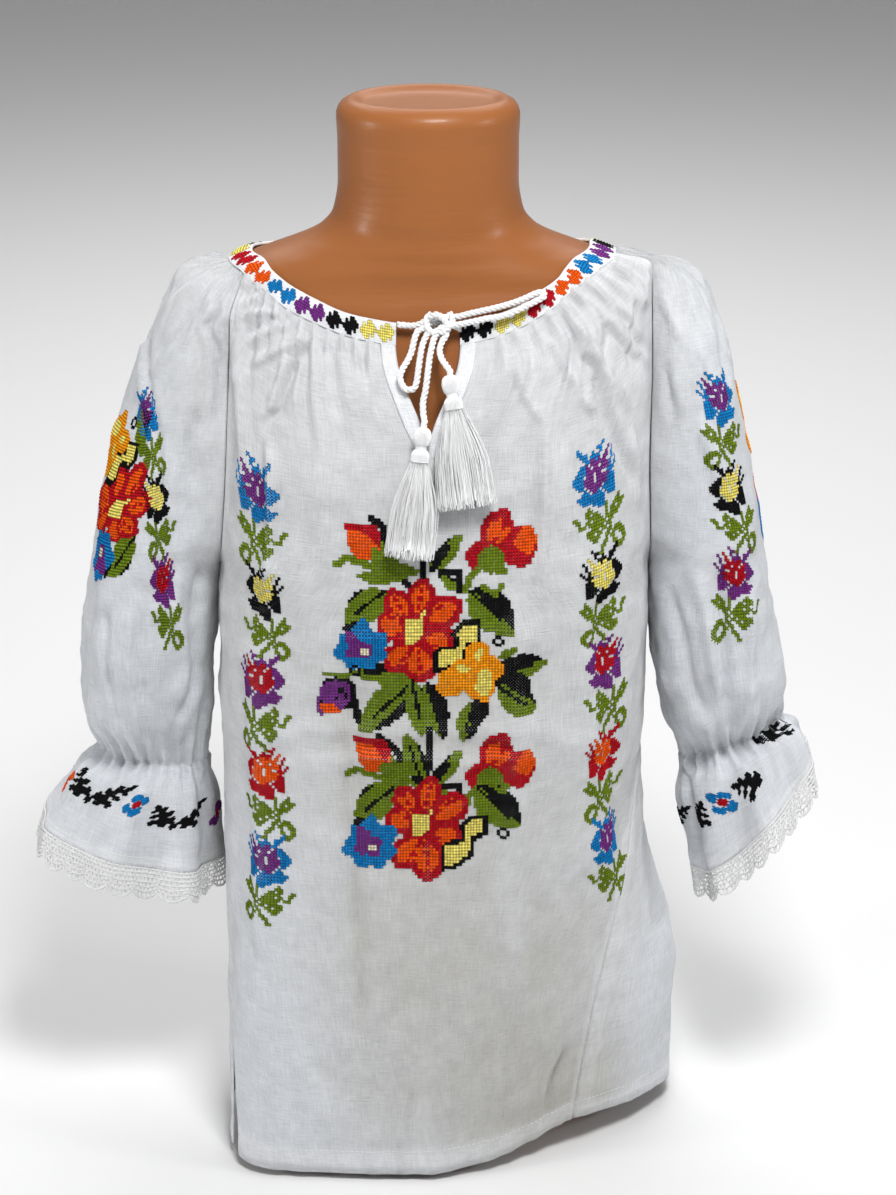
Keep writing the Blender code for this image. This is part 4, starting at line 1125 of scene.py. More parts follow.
def plastic_finish():
    """Glossy brown moulded plastic with faint ripples."""
    finish = Finish("brown_plastic", 0.36, (0.32, 0.112, 0.034))
    where = finish.node("ShaderNodeTexCoord").outputs["Object"]
    cloud = finish.noise(where, 9.0, 3.0)
    finish.colour(finish.mix(cloud, (0.285, 0.098, 0.029, 1), (0.35, 0.127, 0.039, 1)))
    ripples = finish.noise(where, 22.0, 2.0, (1.0, 1.0, 9.0))
    grain = finish.noise(where, 420.0, 2.0)
    finish.normal(finish.bump(ripples, 0.0006, 0.5, finish.bump(grain, 0.00004)))
    finish.shader.inputs["Coat Weight"].default_value = 0.05
    finish.shader.inputs["Coat Roughness"].default_value = 0.15
    finish.shader.inputs["Specular IOR Level"].default_value = 0.24
    return finish.material


# ---------------------------------------------------------------- the form
FORM_CORNERS = 112
# how far in from the neck's rim, and how far above it
NECK_DISH = ((0.0, 0.0), (1.2, 0.35), (2.6, 0.2), (4.2, -0.7), (6.0, -1.9), (8.0, -2.5), (20.0, -2.6))
# edges of more degrees than this look sharp
NECK_DISH_EDGE = 50
FORM_TOP = 551
# heights of the rings: close at the foot, wide up the body, and close over the shoulders and neck
FORM_RINGS = np.concatenate(
    [np.linspace(0, 3, 4), np.linspace(10, 440, 36), np.linspace(445, FORM_TOP, 50)]
)


def form_rings(heights, corners):
    angles = np.arange(corners) * 360 / corners
    return [form_point(np.full(corners, z), angles) for z in heights]


def make_form(finish):
    """The form's smooth skin, with a flat base and a shallow dish on top of its neck."""
    rings = form_rings(FORM_RINGS, FORM_CORNERS)
    top = rings[-1]
    middle = top.mean(axis=0)
    reach = np.linalg.norm(top - middle, axis=1, keepdims=True)
    for inset, rise in NECK_DISH[1:]:
        rings.append(middle + (top - middle) * (1 - inset / reach) + np.array([0, 0, rise]))
    points = np.concatenate(rings)
    index = rounded(numbered(len(rings), FORM_CORNERS))
    faces = face_list(index, -1)
    faces.append(tuple(index[0, :-1][::-1]))
    faces.append(tuple(index[-1, :-1]))
    made = new_mesh("dress_form_skin", points, faces, finish)
    made.data.set_sharp_from_angle(angle=math.radians(NECK_DISH_EDGE))
    place_piece(made, "brown_plastic", "dress_form")


# ---------------------------------------------------------------- cloth pieces
SHELL = 0.45
# how far under the neckband the cloth is tucked
TUCK = 2.0
WEAVE_HALF_WIDTH = 125.0
# A painted tint of the form's brown shows nearer than the first distance and fades out by the second.
FORM_NEAR = 16.0
FORM_FAR = 42.0
# Painted shade: the tint is weaker above these heights, by this share, so the cloth is darker towards
# the bottom.
PAINTED_SHADE_HEIGHTS = (150.0, 360.0)
PAINTED_SHADE_SHARE = 0.72
NEARNESS_RINGS = 70
NEARNESS_CORNERS = 64
# The hem and the seams' turned allowance are doubled: how much denser they look, and where.
HEM_PLIES = 0.45
HEM_FADE = 0.01
ALLOWANCE_PLIES = 0.22
ALLOWANCE = (4.6, 5.4)
PANEL_HALF_WIDTH = 122.0
SLEEVE_HEM_PLIES = 0.4
SLEEVE_HEM = (9.86, 9.88)
# share of the painted form tint and painted shade on the sleeves
SLEEVE_TINT_AND_SHADE_SHARE = 0.8
BODY_ROWS = np.concatenate([np.linspace(0, 2.25, 58), np.linspace(2.3, 9, 92)])
FRONT_HALF_COLUMNS = 100
BACK_STEPS = 176
BACK_ROWS = np.concatenate([np.linspace(0, 2.25, 50), np.linspace(2.3, 9, 76)])
SLEEVE_STEPS = 156
SLEEVE_ROWS = np.concatenate(
    [np.linspace(0, 7.2, 84), np.linspace(7.25, 8.9, 34), np.linspace(8.95, 10, 18)]
)


def painted_form_tint_and_shade(points):
    """1 where the form lies close behind the cloth, 0 where it lies far, and less higher up: the share
    of the painted form tint, with painted shade that darkens the cloth towards the bottom.
    """
    rings = form_rings(np.linspace(0, FORM_TOP, NEARNESS_RINGS), NEARNESS_CORNERS)
    faces = face_list(rounded(numbered(NEARNESS_RINGS, NEARNESS_CORNERS)), -1)
    tree = BVHTree.FromPolygons([tuple(point) for point in np.concatenate(rings)], faces)
    distance = np.array([tree.find_nearest(tuple(point))[3] for point in points])
    painted_shade_fade = PAINTED_SHADE_SHARE * ease(points[:, 2], *PAINTED_SHADE_HEIGHTS)
    return (1 - ease(distance, FORM_NEAR, FORM_FAR)) * (1 - painted_shade_fade)


def cloth_threads(panel, v, cloth):
    """The place on the cloth, in millimetres across and down, by which its weave runs."""
    down = np.interp(v, *panel.down_the_middle())
    return np.stack([cloth * WEAVE_HALF_WIDTH, down, np.zeros(len(v))], axis=1)


def body_plies(v, cloth):
    """How much denser a body panel looks, from its hem and its seams' allowance."""
    hem = HEM_PLIES * ease(v, LAST_ROW - HEM_ROWS - HEM_FADE, LAST_ROW - HEM_ROWS)
    allowance = ALLOWANCE_PLIES * (1 - ease((1 - np.abs(cloth)) * PANEL_HALF_WIDTH, *ALLOWANCE))
    return np.maximum(hem, allowance)


def with_tuck(v, cloth):
    """The places of a grid's points with those of the row under the neckband first."""
    return np.concatenate([v[:1], v]).ravel(), np.concatenate([cloth[:1], cloth]).ravel()


def cloth_piece(node, points, faces, finish, weave, plies, form):
    """A thin shell of white cotton that stands for its node."""
    attributes = {"thread": weave, "plies": plies, "form": form}
    points, faces, attributes = compact(points, faces, attributes)
    made = new_mesh(f"{node}_cloth", points, faces, finish, attributes)
    add_wall(made, SHELL)
    return place_piece(made, "white_cotton", node)


def doubled_cloth(weave):
    """The attributes of cloth that is doubled all over, with no painted form tint and no painted
    shade.
    """
    return {"thread": weave, "plies": np.ones(len(weave)), "form": np.zeros(len(weave))}


def make_front(panel, finish):
    """The front: two halves, apart beside the slit and one below it."""
    sheets, places = [], []
    for side in (-1, 1):
        half = (np.linspace(0, 1, FRONT_HALF_COLUMNS) * side)[::side]
        v, cloth = np.meshgrid(BODY_ROWS, half, indexing="ij")
        across = beside_slit(panel, v, cloth, side)
        sheets.append(under_band(panel.at(v, across, cloth=cloth)))
        places.append(with_tuck(v, cloth))
    columns = np.linspace(-1, 1, 2 * FRONT_HALF_COLUMNS - 1)
    grid = np.concatenate([sheets[0][1:], sheets[1][1:, 1:]], axis=1)
    cloth_at = on_sheet(panel, BODY_ROWS, columns, grid)
    left = numbered(len(sheets[0]), FRONT_HALF_COLUMNS)
    right = left + left.size
    joined = np.concatenate([[0], BODY_ROWS]) >= SLIT_END
    right[joined, 0] = left[joined, -1]
    faces = np.concatenate([grid_faces(left, 1), grid_faces(right, 1)])
    points = np.concatenate([sheet.reshape(-1, 3) for sheet in sheets])
    v, cloth = np.concatenate(places, axis=1)
    # near holds the painted form tint and painted shade, darker towards the bottom
    weave, near = cloth_threads(panel, v, cloth), painted_form_tint_and_shade(points)
    return cloth_piece("front", points, faces, finish, weave, body_plies(v, cloth), near), cloth_at


BACK_EDGE = 0.05


def make_back(panel, finish):
    """The back, whose edge at the vent hangs away from the front's."""
    columns = np.linspace(-1, 1, BACK_STEPS + 1)
    v, cloth = np.meshgrid(BACK_ROWS, columns, indexing="ij")
    edge = panel.plain(BACK_ROWS, np.full(len(BACK_ROWS), 1.0))
    inner = panel.plain(BACK_ROWS, np.full(len(BACK_ROWS), 1 - BACK_EDGE))
    reach = np.linalg.norm(edge - inner, axis=1) / BACK_EDGE
    vent = (VENT_OPENING * ease(BACK_ROWS, VENT_TOP, LAST_ROW) / reach)[:, None]
    across = np.where(cloth > 0, cloth * (1 - vent), cloth)
    surface = panel.at(v, across, cloth=cloth)
    cloth_at = on_sheet(panel, BACK_ROWS, columns, surface)
    points = under_band(surface)
    faces = grid_faces(numbered(*points.shape[:2]), 1)
    points = points.reshape(-1, 3)
    v, cloth = with_tuck(v, cloth)
    # near holds the painted form tint and painted shade, darker towards the bottom
    weave, near = cloth_threads(panel, v, cloth), painted_form_tint_and_shade(points)
    return cloth_piece("back", points, faces, finish, weave, body_plies(v, cloth), near), cloth_at


def make_sleeve(name, panel, finish):
    """A sleeve, open at the armhole and one ring below the armpit."""
    v, cloth = np.meshgrid(SLEEVE_ROWS, np.linspace(-1, 1, SLEEVE_STEPS + 1), indexing="ij")
    surface = panel.at(v, cloth)
    cloth_at = on_sheet(panel, SLEEVE_ROWS, cloth[0], surface)
    points = under_band(surface)
    index = numbered(*points.shape[:2])
    closed = np.concatenate([[0], SLEEVE_ROWS]) >= ARMPIT_ROW
    index[closed, -1] = index[closed, 0]
    points = points.reshape(-1, 3)
    v, cloth = with_tuck(v, cloth)
    weave, plies = cloth_threads(panel, v, cloth), SLEEVE_HEM_PLIES * ease(v, *SLEEVE_HEM)
    # near holds the painted form tint and painted shade, darker towards the bottom
    near = painted_form_tint_and_shade(points) * SLEEVE_TINT_AND_SHADE_SHARE
    faces = grid_faces(index, panel.facing)
    return cloth_piece(name, points, faces, finish, weave, plies, near), cloth_at


# ---------------------------------------------------------------- neckband and facings
BAND_STEPS = 300
BAND_ROUND = 9
BAND_CROWN = 0.18
BAND_FOLD_EDGE = 60


def band_profile():
    """The folded band's section: side from -1 to 1 and depth from 0, inside, to 1, outside."""
    corners = []
    for k in range(BAND_ROUND + 1):
        t = -1 + 2 * k / BAND_ROUND
        corners.append((t * 0.97, 1.0 - BAND_CROWN * abs(t) ** 3))
    corners += [(1.0, 0.55), (0.97, 0.15), (0.5, 0.0), (-0.5, 0.0), (-0.97, 0.15), (-1.0, 0.55)]
    return corners


def band_at(angle, side, depth):
    """The neckband's surface; depth runs from 0, inside, to 1, outside."""
    lower = 1 - ease(side, -1.0, 0.3)
    pucker = 0.16 * np.sin(angle * 1.31 + 2 * np.sin(angle * 0.17)) + 0.1 * np.sin(angle * 2.3)
    return band_edge(angle, side, FORM_CLEARANCE + (BAND_WALL + pucker * lower) * depth)


SLIT_TOP_HALF = float(slit_half_width(np.array([0.0]))[0])
BAND_ANGLES = np.linspace(
    band_angle_at(SLIT_TOP_HALF), 360 + band_angle_at(-SLIT_TOP_HALF), BAND_STEPS + 1
)
BAND_RUN = run_of(band_at(BAND_ANGLES, np.zeros(BAND_STEPS + 1), 1.0))


def make_band(finish):
    """The neckband from one end of the slit round the back to the other."""
    profile = band_profile()
    rows = [band_at(BAND_ANGLES, np.full(BAND_STEPS + 1, side), depth) for side, depth in profile]
    points = np.array(rows)
    rounds, columns = points.shape[:2]
    index = numbered(rounds, columns)
    faces = face_list(np.concatenate([index, index[:1]]), 1)
    faces += [tuple(index[:, 0]), tuple(index[:, -1][::-1])]
    down = np.repeat([BAND_WIDTH / 2 * (1 - side) for side, _ in profile], columns)
    weave = np.stack([np.tile(BAND_RUN, rounds), down, np.zeros(rounds * columns)], axis=1)
    made = new_mesh("neckband_cloth", points.reshape(-1, 3), faces, finish, doubled_cloth(weave))
    made.data.set_sharp_from_angle(angle=math.radians(BAND_FOLD_EDGE))
    return place_piece(made, "band_cotton", "neckband")


FACING_LIFT = 0.85
FACING_SHELL = 0.75
FACING_STEPS = 12
FACING_ROWS = 70
FACING_NARROWS_FROM = 1.8
# gap between the slit's edge and the strip, and how far the strip's two edges turn down
FACING_GAP = 0.2
FACING_TURNS = (0.35, 0.45)
# the distance between its columns and its rows on the cloth
FACING_PITCH = (0.8, 1.2)


def facing_grid(panel, side):
    """Rows of points of a facing strip."""
    rows = np.linspace(0.0, FACING_END, FACING_ROWS)
    fifth = panel.plain(rows, np.full(len(rows), side * FIFTH))
    reach = np.abs(fifth[:, 0]) / FIFTH
    narrowing = ease(rows, FACING_NARROWS_FROM, FACING_END)
    width = FACING_WIDTH + (FACING_TIP_WIDTH - FACING_WIDTH) * narrowing
    share = np.linspace(0, 1, FACING_STEPS + 1)
    cloth = side * (FACING_GAP + share[None, :] * (width[:, None] - FACING_GAP)) / reach[:, None]
    v = np.broadcast_to(rows[:, None], cloth.shape)
    across = beside_slit(panel, v, cloth, side)
    inner, outer = FACING_TURNS
    lift = FACING_LIFT - inner * (1 - ease(share, 0.0, 0.12)) - outer * ease(share, 0.9, 1.0)
    return panel.at(v, across, lift=np.broadcast_to(lift, v.shape), cloth=cloth)


def make_facing(name, panel, side, finish):
    points = facing_grid(panel, side)[:, ::side]
    index = numbered(*points.shape[:2])
    down, along = np.indices(index.shape).reshape(2, -1)
    weave = np.stack([along * FACING_PITCH[0], down * FACING_PITCH[1], np.zeros(index.size)], axis=1)
    faces = grid_faces(index, 1)
    made = new_mesh(f"{name}_cloth", points.reshape(-1, 3), faces, finish, doubled_cloth(weave))
    add_wall(made, FACING_SHELL)
    return place_piece(made, "facing_cotton", name)


# ---------------------------------------------------------------- threads
def frames_along(route):
    """Two directions square to a route at each of its points, with no twist between them."""
    route = np.asarray(route, float)
    tangent = unit(np.gradient(route, axis=0))
    first = np.cross(tangent[0], [0.0, 0.0, 1.0])
    if np.linalg.norm(first) < 0.1:
        first = np.cross(tangent[0], [1.0, 0.0, 0.0])
    first = first / np.linalg.norm(first)
    sides = []
    for direction in tangent:
        first = first - direction * (first @ direction)
        first = first / np.linalg.norm(first)
        sides.append(first)
    sides = np.array(sides)
    return sides, np.cross(tangent, sides)


class Tubes:
    """Many tubes gathered into one mesh."""

    def __init__(self):
        self.points, self.faces, self.count = [], [], 0

    def add(self, route, radius, corners=6, closed=False, taper=None):
        """A tube along a route; taper scales its radius at each point."""
        route = np.asarray(route, float)
        side, up = frames_along(route)
        turns = np.arange(corners) * 2 * math.pi / corners
        scale = np.full(len(route), radius) if taper is None else radius * np.asarray(taper)
        ring = side[:, None] * np.cos(turns)[:, None] + up[:, None] * np.sin(turns)[:, None]
        points = route[:, None] + ring * scale[:, None, None]
        index = numbered(len(route), corners) + self.count
        around = rounded(index)
        if closed:
            around = np.concatenate([around, around[:1]])
        self.faces += face_list(around, -1)
        if not closed:
            self.faces += [tuple(index[0]), tuple(index[-1][::-1])]
        self.points.append(points.reshape(-1, 3))
        self.count += index.size

    def mesh(self, name, finish):
        return new_mesh(name, np.concatenate(self.points), self.faces, finish)


# ---------------------------------------------------------------- the drawstring
PLIES = 3
PLY_LEAD = 7.4
PLY_RADIUS = 0.464 * CORD_DIAMETER / 2
PLY_CORNERS = 8
ROPE_STEP = 0.5


def add_rope(tubes, route, start=0.0):
    """A three-ply rope along a smooth route."""
    route = smooth_route(route, ROPE_STEP)
    side, up = frames_along(route)
    run = run_of(route)
    offset = CORD_DIAMETER / 2 - PLY_RADIUS
    for k in range(PLIES):
        turn = start + 2 * math.pi * (run / PLY_LEAD + k / PLIES)
        strand = route + offset * (side * np.cos(turn)[:, None] + up * np.sin(turn)[:, None])
        tubes.add(strand, PLY_RADIUS, PLY_CORNERS)
    return route


KNOT_PASS_RIGHT = ((1.4, -55.4, 453.4), (6.0, -55.2, 454.4), (10.4, -54.2, 454.2))
KNOT_RETURN_LEFT = ((11.4, -57.6, 450.8), (8.0, -58.8, 450.6), (5.0, -59.4, 449.2))
KNOT_PASS_LEFT = ((11.0, -54.0, 450.6), (7.0, -53.6, 451.4), (2.0, -54.2, 451.2), (-1.0, -56.0, 450.2))
KNOT_RETURN_RIGHT = ((0.8, -58.6, 447.8), (4.4, -59.4, 448.4), (7.6, -59.4, 448.0))
STRING_RIGHT = (*RUN_RIGHT, *KNOT_PASS_RIGHT, *LOOP_LEFT, *KNOT_RETURN_LEFT, *TAIL_RIGHT)
STRING_LEFT = (*RUN_LEFT, *KNOT_PASS_LEFT, *LOOP_RIGHT, *KNOT_RETURN_RIGHT, *TAIL_LEFT)
# The knot's own wraps: a band of rope round the middle and the crossing over it.
KNOT_WRAPS = (
    ((3.4, -51.6, 449.2), (1.0, -53.6, 452.0), (1.4, -56.6, 455.0), (4.2, -58.4, 456.6),
     (7.4, -59.0, 454.6), (9.4, -58.8, 451.2), (9.6, -56.8, 448.4), (8.2, -53.4, 447.2)),
    ((1.8, -53.0, 455.6), (-0.6, -56.2, 453.6), (-0.4, -58.4, 450.6), (2.2, -59.4, 448.0),
     (5.2, -58.2, 446.8), (6.8, -55.2, 446.9)),
    ((10.4, -52.8, 455.8), (11.9, -55.8, 453.8), (11.2, -58.2, 451.4), (8.8, -59.2, 449.6),
     (6.8, -57.6, 447.4)),
)


# how far round each wrap's plies start from those of the wrap before
WRAP_TURN = 0.7
# route and the nodes that it stands for
STRINGS = {
    "drawstring_right": (
        STRING_RIGHT, ("drawstring_run_right", "bow_loop_left", "drawstring_tail_right"),
    ),
    "drawstring_left": (
        STRING_LEFT, ("drawstring_run_left", "bow_loop_right", "drawstring_tail_left"),
    ),
}


def make_strings(finish):
    """Both ends of the drawstring, with their paths, and the knot between them."""
    strings = {}
    for name, (route, nodes) in STRINGS.items():
        tubes = Tubes()
        path = add_rope(tubes, route)
        strings[name] = (place_piece(tubes.mesh(name, finish), "cord_cotton", *nodes), path)
    tubes = Tubes()
    for k, wrap in enumerate(KNOT_WRAPS):
        add_rope(tubes, wrap, start=WRAP_TURN * k)
    place_piece(tubes.mesh("bow_knot_wraps", finish), "cord_cotton", "bow_knot")
    return strings


# ---------------------------------------------------------------- tassels
TASSEL_SEED = 40
TASSEL_THREADS = 520
TASSEL_THREAD_RADIUS = 0.26
THREAD_STEPS = 8
# The head and the neck: a core, threads laid down it, and threads bound round the neck.
CORE_ENDS = (5.0, -11.5)
CORE_STEPS = 34
CORE_CORNERS = 28
CORE_SUNK = 0.12
CORE_THINNEST = 0.3
LAID_THREADS = 44
LAID_RADIUS = 0.27
TASSEL_BINDINGS = 9
BINDING_TOP = -4.1
BINDING_PITCH = 0.26
BINDING_REACH = 2.62
BINDING_RADIUS = 0.2
BINDING_STEPS = 24
# The skirt starts this far below the head's middle, and its core keeps inside its threads.
SKIRT_START = 8.6
SKIRT_ROOT = 3.2
SKIRT_CORE_TOP = 2.9
SKIRT_CORE_WIDE = 0.86
SKIRT_CORE_LONG = 0.93
SKIRT_CORE_CORNERS = 24


def skirt_swell(t):
    """How far a skirt has widened at a share of its length."""
    return ease(t, -0.1, 0.62) * 0.72 + 0.28 * t


def skirt_thread(draw, length, spread):
    """One thread of a skirt, from its root at the neck to its tip."""
    turn = draw.uniform(0, 2 * math.pi)
    out = math.sqrt(draw.uniform(0.35, 1.0))
    way = np.array([math.cos(turn), math.sin(turn)])
    end = length * draw.uniform(0.94, 1.02)
    root = np.array([*(way * out * SKIRT_ROOT), -SKIRT_START])
    tip = np.array([*(way * out * np.array(spread) * draw.uniform(0.86, 1.06)), -end])
    bend = draw.normal(0, 0.5, 2)
    t = np.linspace(0, 1, THREAD_STEPS)
    shape = root[:2] + (tip[:2] - root[:2]) * skirt_swell(t)[:, None]
    shape = shape + np.sin(math.pi * t)[:, None] * bend
    wave = 0.22 * np.sin(t * draw.uniform(5, 11) + draw.uniform(0, 6))
    down = root[2] + (tip[2] - root[2]) * t
    return np.column_stack([shape[:, 0] + wave, shape[:, 1] - wave, down])


def make_tassel(name, finish, seed):
    """A tassel: its head and neck wound with thread, and its skirt of separate threads."""
    head, foot, spread = TASSELS[name]
    head, foot = np.array(head), np.array(foot)
    length = np.linalg.norm(head - foot)
    up = (head - foot) / length
    side = np.array([1.0, 0, 0]) - up * up[0]
    side /= np.linalg.norm(side)
    place = np.stack([side, np.cross(up, side), up])
    tubes = Tubes()
    core = np.array([(0, 0, z) for z in np.linspace(*CORE_ENDS, CORE_STEPS)])
    heights = -np.array([corner[1] for corner in TASSEL_PROFILE[:-1]])
    radii = np.array([corner[0] for corner in TASSEL_PROFILE[:-1]])
    radius = np.maximum(through(heights, radii, -core[:, 2]), CORE_THINNEST)
    tubes.add(head + core @ place, 1.0, CORE_CORNERS, taper=radius - CORE_SUNK)
    for k in range(LAID_THREADS):
        turn = 2 * math.pi * k / LAID_THREADS
        route = np.stack([np.cos(turn) * radius, np.sin(turn) * radius, core[:, 2]], axis=1)
        tubes.add(head + route @ place, LAID_RADIUS, 4)
    turns = np.linspace(0, 2 * math.pi, BINDING_STEPS + 1)[:-1]
    for k in range(TASSEL_BINDINGS):
        z = np.full(BINDING_STEPS, BINDING_TOP - BINDING_PITCH * k)
        ring = np.stack([BINDING_REACH * np.cos(turns), BINDING_REACH * np.sin(turns), z], axis=1)
        tubes.add(head + ring @ place, BINDING_RADIUS, 5, closed=True)
    skirt = np.linspace(0, 1, 9)
    inner = SKIRT_CORE_TOP + (SKIRT_CORE_WIDE * min(spread) - SKIRT_CORE_TOP) * skirt_swell(skirt)
    down = -SKIRT_START - (SKIRT_CORE_LONG * length - SKIRT_START) * skirt
    middle = np.stack([0 * skirt, 0 * skirt, down], axis=1)
    tubes.add(head + middle @ place, 1.0, SKIRT_CORE_CORNERS, taper=inner)
    draw = np.random.default_rng(seed)
    thinner = np.linspace(1, 0.7, THREAD_STEPS)
    for _ in range(TASSEL_THREADS):
        route = head + skirt_thread(draw, length, spread) @ place
        tubes.add(route, TASSEL_THREAD_RADIUS, 3, taper=thinner)
    return place_piece(tubes.mesh(f"{name}_threads", finish), "cord_cotton", name)


# ---------------------------------------------------------------- crocheted lace
LACE_THREAD = 0.45
# depth of a row's valleys and how far its waves hang below them, bars to a scallop, thickness
LACE_COLUMNS = ("depth", "wave", "bars", "thick")
LACE_ROWS = (
    (0.3, 0.0, 6, 1.6),
    (2.6, 0.0, 6, 1.3),
    (4.9, 0.0, 6, 1.3),
    (7.0, 0.8, 6, 1.2),
    (8.7, 1.8, 6, 1.1),
    (10.3, 2.9, 6, 1.1),
    (12.0, 4.4, 0, 1.6),
)
LACE_STEPS = 16
LACE_FINE_STEPS = 24
LACE_SUNK = -0.2
BAR_SWAY = 0.02
BAR_LEAN = 0.03
LACE_SEED = 60


def lace_frame(panel, turns):
    """The upper edge of the lace and the way it hangs, at places round the ruffle."""
    places = (2 * turns / SCALLOPS) % 2 - 1
    edge = panel.at(np.full(len(places), float(SLEEVE_HEM_ROW)), places, lift=LACE_SUNK)
    above = panel.at(np.full(len(places), SLEEVE_HEM_ROW - 0.05), places, lift=LACE_SUNK)
    along = unit(edge - above)
    down = unit(along - np.array([0, 0, LACE_DROOP]))
    return edge, down


def make_lace(name, panel, finish, seed):
    """A crocheted edging: rows of chain, staggered bars between them, and fans for its scallops."""
    fine = np.linspace(0, SCALLOPS, SCALLOPS * LACE_FINE_STEPS + 1)
    edge, down = lace_frame(panel, fine)
    draw = np.random.default_rng(seed)
    tubes = Tubes()

    def at(turn, depth):
        turn, depth = np.broadcast_arrays(np.asarray(turn, float), np.asarray(depth, float))
        turn = turn % SCALLOPS
        return at_distances(turn, fine, edge) + at_distances(turn, fine, down) * depth[..., None]

    rows = rows_of(LACE_COLUMNS, LACE_ROWS)

    def depth_of(row, turn):
        return row["depth"] + row["wave"] * np.abs(np.sin(math.pi * turn)) ** 0.8

    for k, row in enumerate(rows):
        turn = np.linspace(0, SCALLOPS, SCALLOPS * LACE_STEPS + 1)[:-1]
        cells = turn * max(row["bars"], 6)
        knots = 1 + 0.3 * np.cos(2 * math.pi * cells)
        loops = 0.3 * np.abs(np.sin(math.pi * 8 * turn)) * (k == len(rows) - 1)
        chain = at(turn, depth_of(row, turn) + loops)
        tubes.add(chain, LACE_THREAD * row["thick"], 4, closed=True, taper=knots)
    for k, (row, under) in enumerate(zip(rows, rows[1:])):
        for j in range(SCALLOPS * row["bars"]):
            start = (j + 0.5 * (k % 2)) / row["bars"]
            t = np.linspace(0, 1, 3)
            end = start + draw.uniform(-BAR_SWAY, BAR_SWAY) + BAR_LEAN * (1 if j % 2 else -1)
            upper, lower = depth_of(row, start), depth_of(under, end)
            route = at(start + (end - start) * t, upper + (lower - upper) * t)
            tubes.add(route, LACE_THREAD, 3)
    return place_piece(tubes.mesh(f"{name}_crochet", finish), "crochet_lace", name)


# ---------------------------------------------------------------- embroidery
# A chart holds one letter for each stitch; a full stop is bare cloth.
DYES = {
    "r": (0.50, 0.006, 0.016),
    "v": (0.90, 0.105, 0.006),
    "o": (0.97, 0.35, 0.008),
    "y": (0.88, 0.76, 0.17),
    "b": (0.008, 0.22, 0.56),
    "p": (0.19, 0.034, 0.24),
    "g": (0.165, 0.245, 0.013),
    "k": (0.006, 0.006, 0.007),
    "c": (0.86, 0.80, 0.60),
}
# In these two, a is the outer thread and i the inner one.
FLOWER = (
    ".....a.........a..",
    "......aa......aa..",
    "...i..a..a..aaa...",
    ".a..i..aaaa.aa....",
    "..a.ii.iaiiaa.....",
    "..a..iiiiii.iaa...",
    "a..aiii.ii.iiaaa..",
    ".a.aiiiiiiiiiaaaa.",
    "..aaa..ii.iii.aaaa",
    "...aiiiii.iiiiaaaa",
    "..aaaiiii.iiiiaaa.",
    "..aaaiiiiiiii.aa..",
    "..aaaa.iiiii.a....",
    "..aaaaa.aii.aaa...",
    "..aaaa.aaaaaaaaaa.",
    "..aaa.aaaaaaaaaa..",
    "......aaaaaaaaa...",
    "......aaaaa.......",
    "......aaa.........",
)
CUFF_FLOWER = (
    "..aaa......",
    ".aaaaa.aa..",
    ".aaaaaaaaa.",
    ".aaaa.aaaaa",
    "..aa.ii.aaa",
    "....iiii.a.",
    ".a..iiii...",
    "aaa..ii.aa.",
    "aaaaa.aaaa.",
    ".aaaaaaaaaa",
    "..aa.aaaaa.",
    "......aaa..",
)
SPRIG = (
    "..g..................",
    "..gg...g......g......",
    "ggggg..g.....ggg.....",
    ".gg.gg.g...gg.gg...gg",
    "..gggg.g..ggggg...gg.",
    "...ggggg.gggg.gg..g..",
    ".....gg.ggggggg.ggg..",
    "......gg.ggggg.......",
    "......g.gg.ggggg.....",
    "..ggg.gg..gg.ggg.....",
    ".ggggg.gg..gggg......",
    "ggg..gg.g...gg.......",
    "gg...g..gg...........",
    "gg..gg...gg..........",
    ".gggg.....g..........",
    "..gg......gg.........",
)
GARLAND = (
    ".kk..........",
    ".kkk.kk......",
    "..kkkkk......",
    "..kkkkk..kk..",
    ".kk..kkkkkk..",
    ".....kkkkkk..",
    "...kkkkkkk..k",
    "..kkk..kkkkkk",
    ".......kkkkkk",
    "....kkkkkkkkk",
    "...kkkkkkkkk.",
    "....kk...kkk.",
    ".............",
)
GARLAND_MIDDLE = (*["....."] * 7, "k...k", "k...k", "kk.kk", ".kkk.", ".kkk.", "..k..")
STAR = (
    "...aa..",
    ".a.aaa.",
    ".aaaaaa",
    "aaaaaaa",
    "aaaaaa.",
    ".aaa.a.",
    "..aa...",
)
CROSS = (".kk.", "k..k", "k..k", ".kk.")


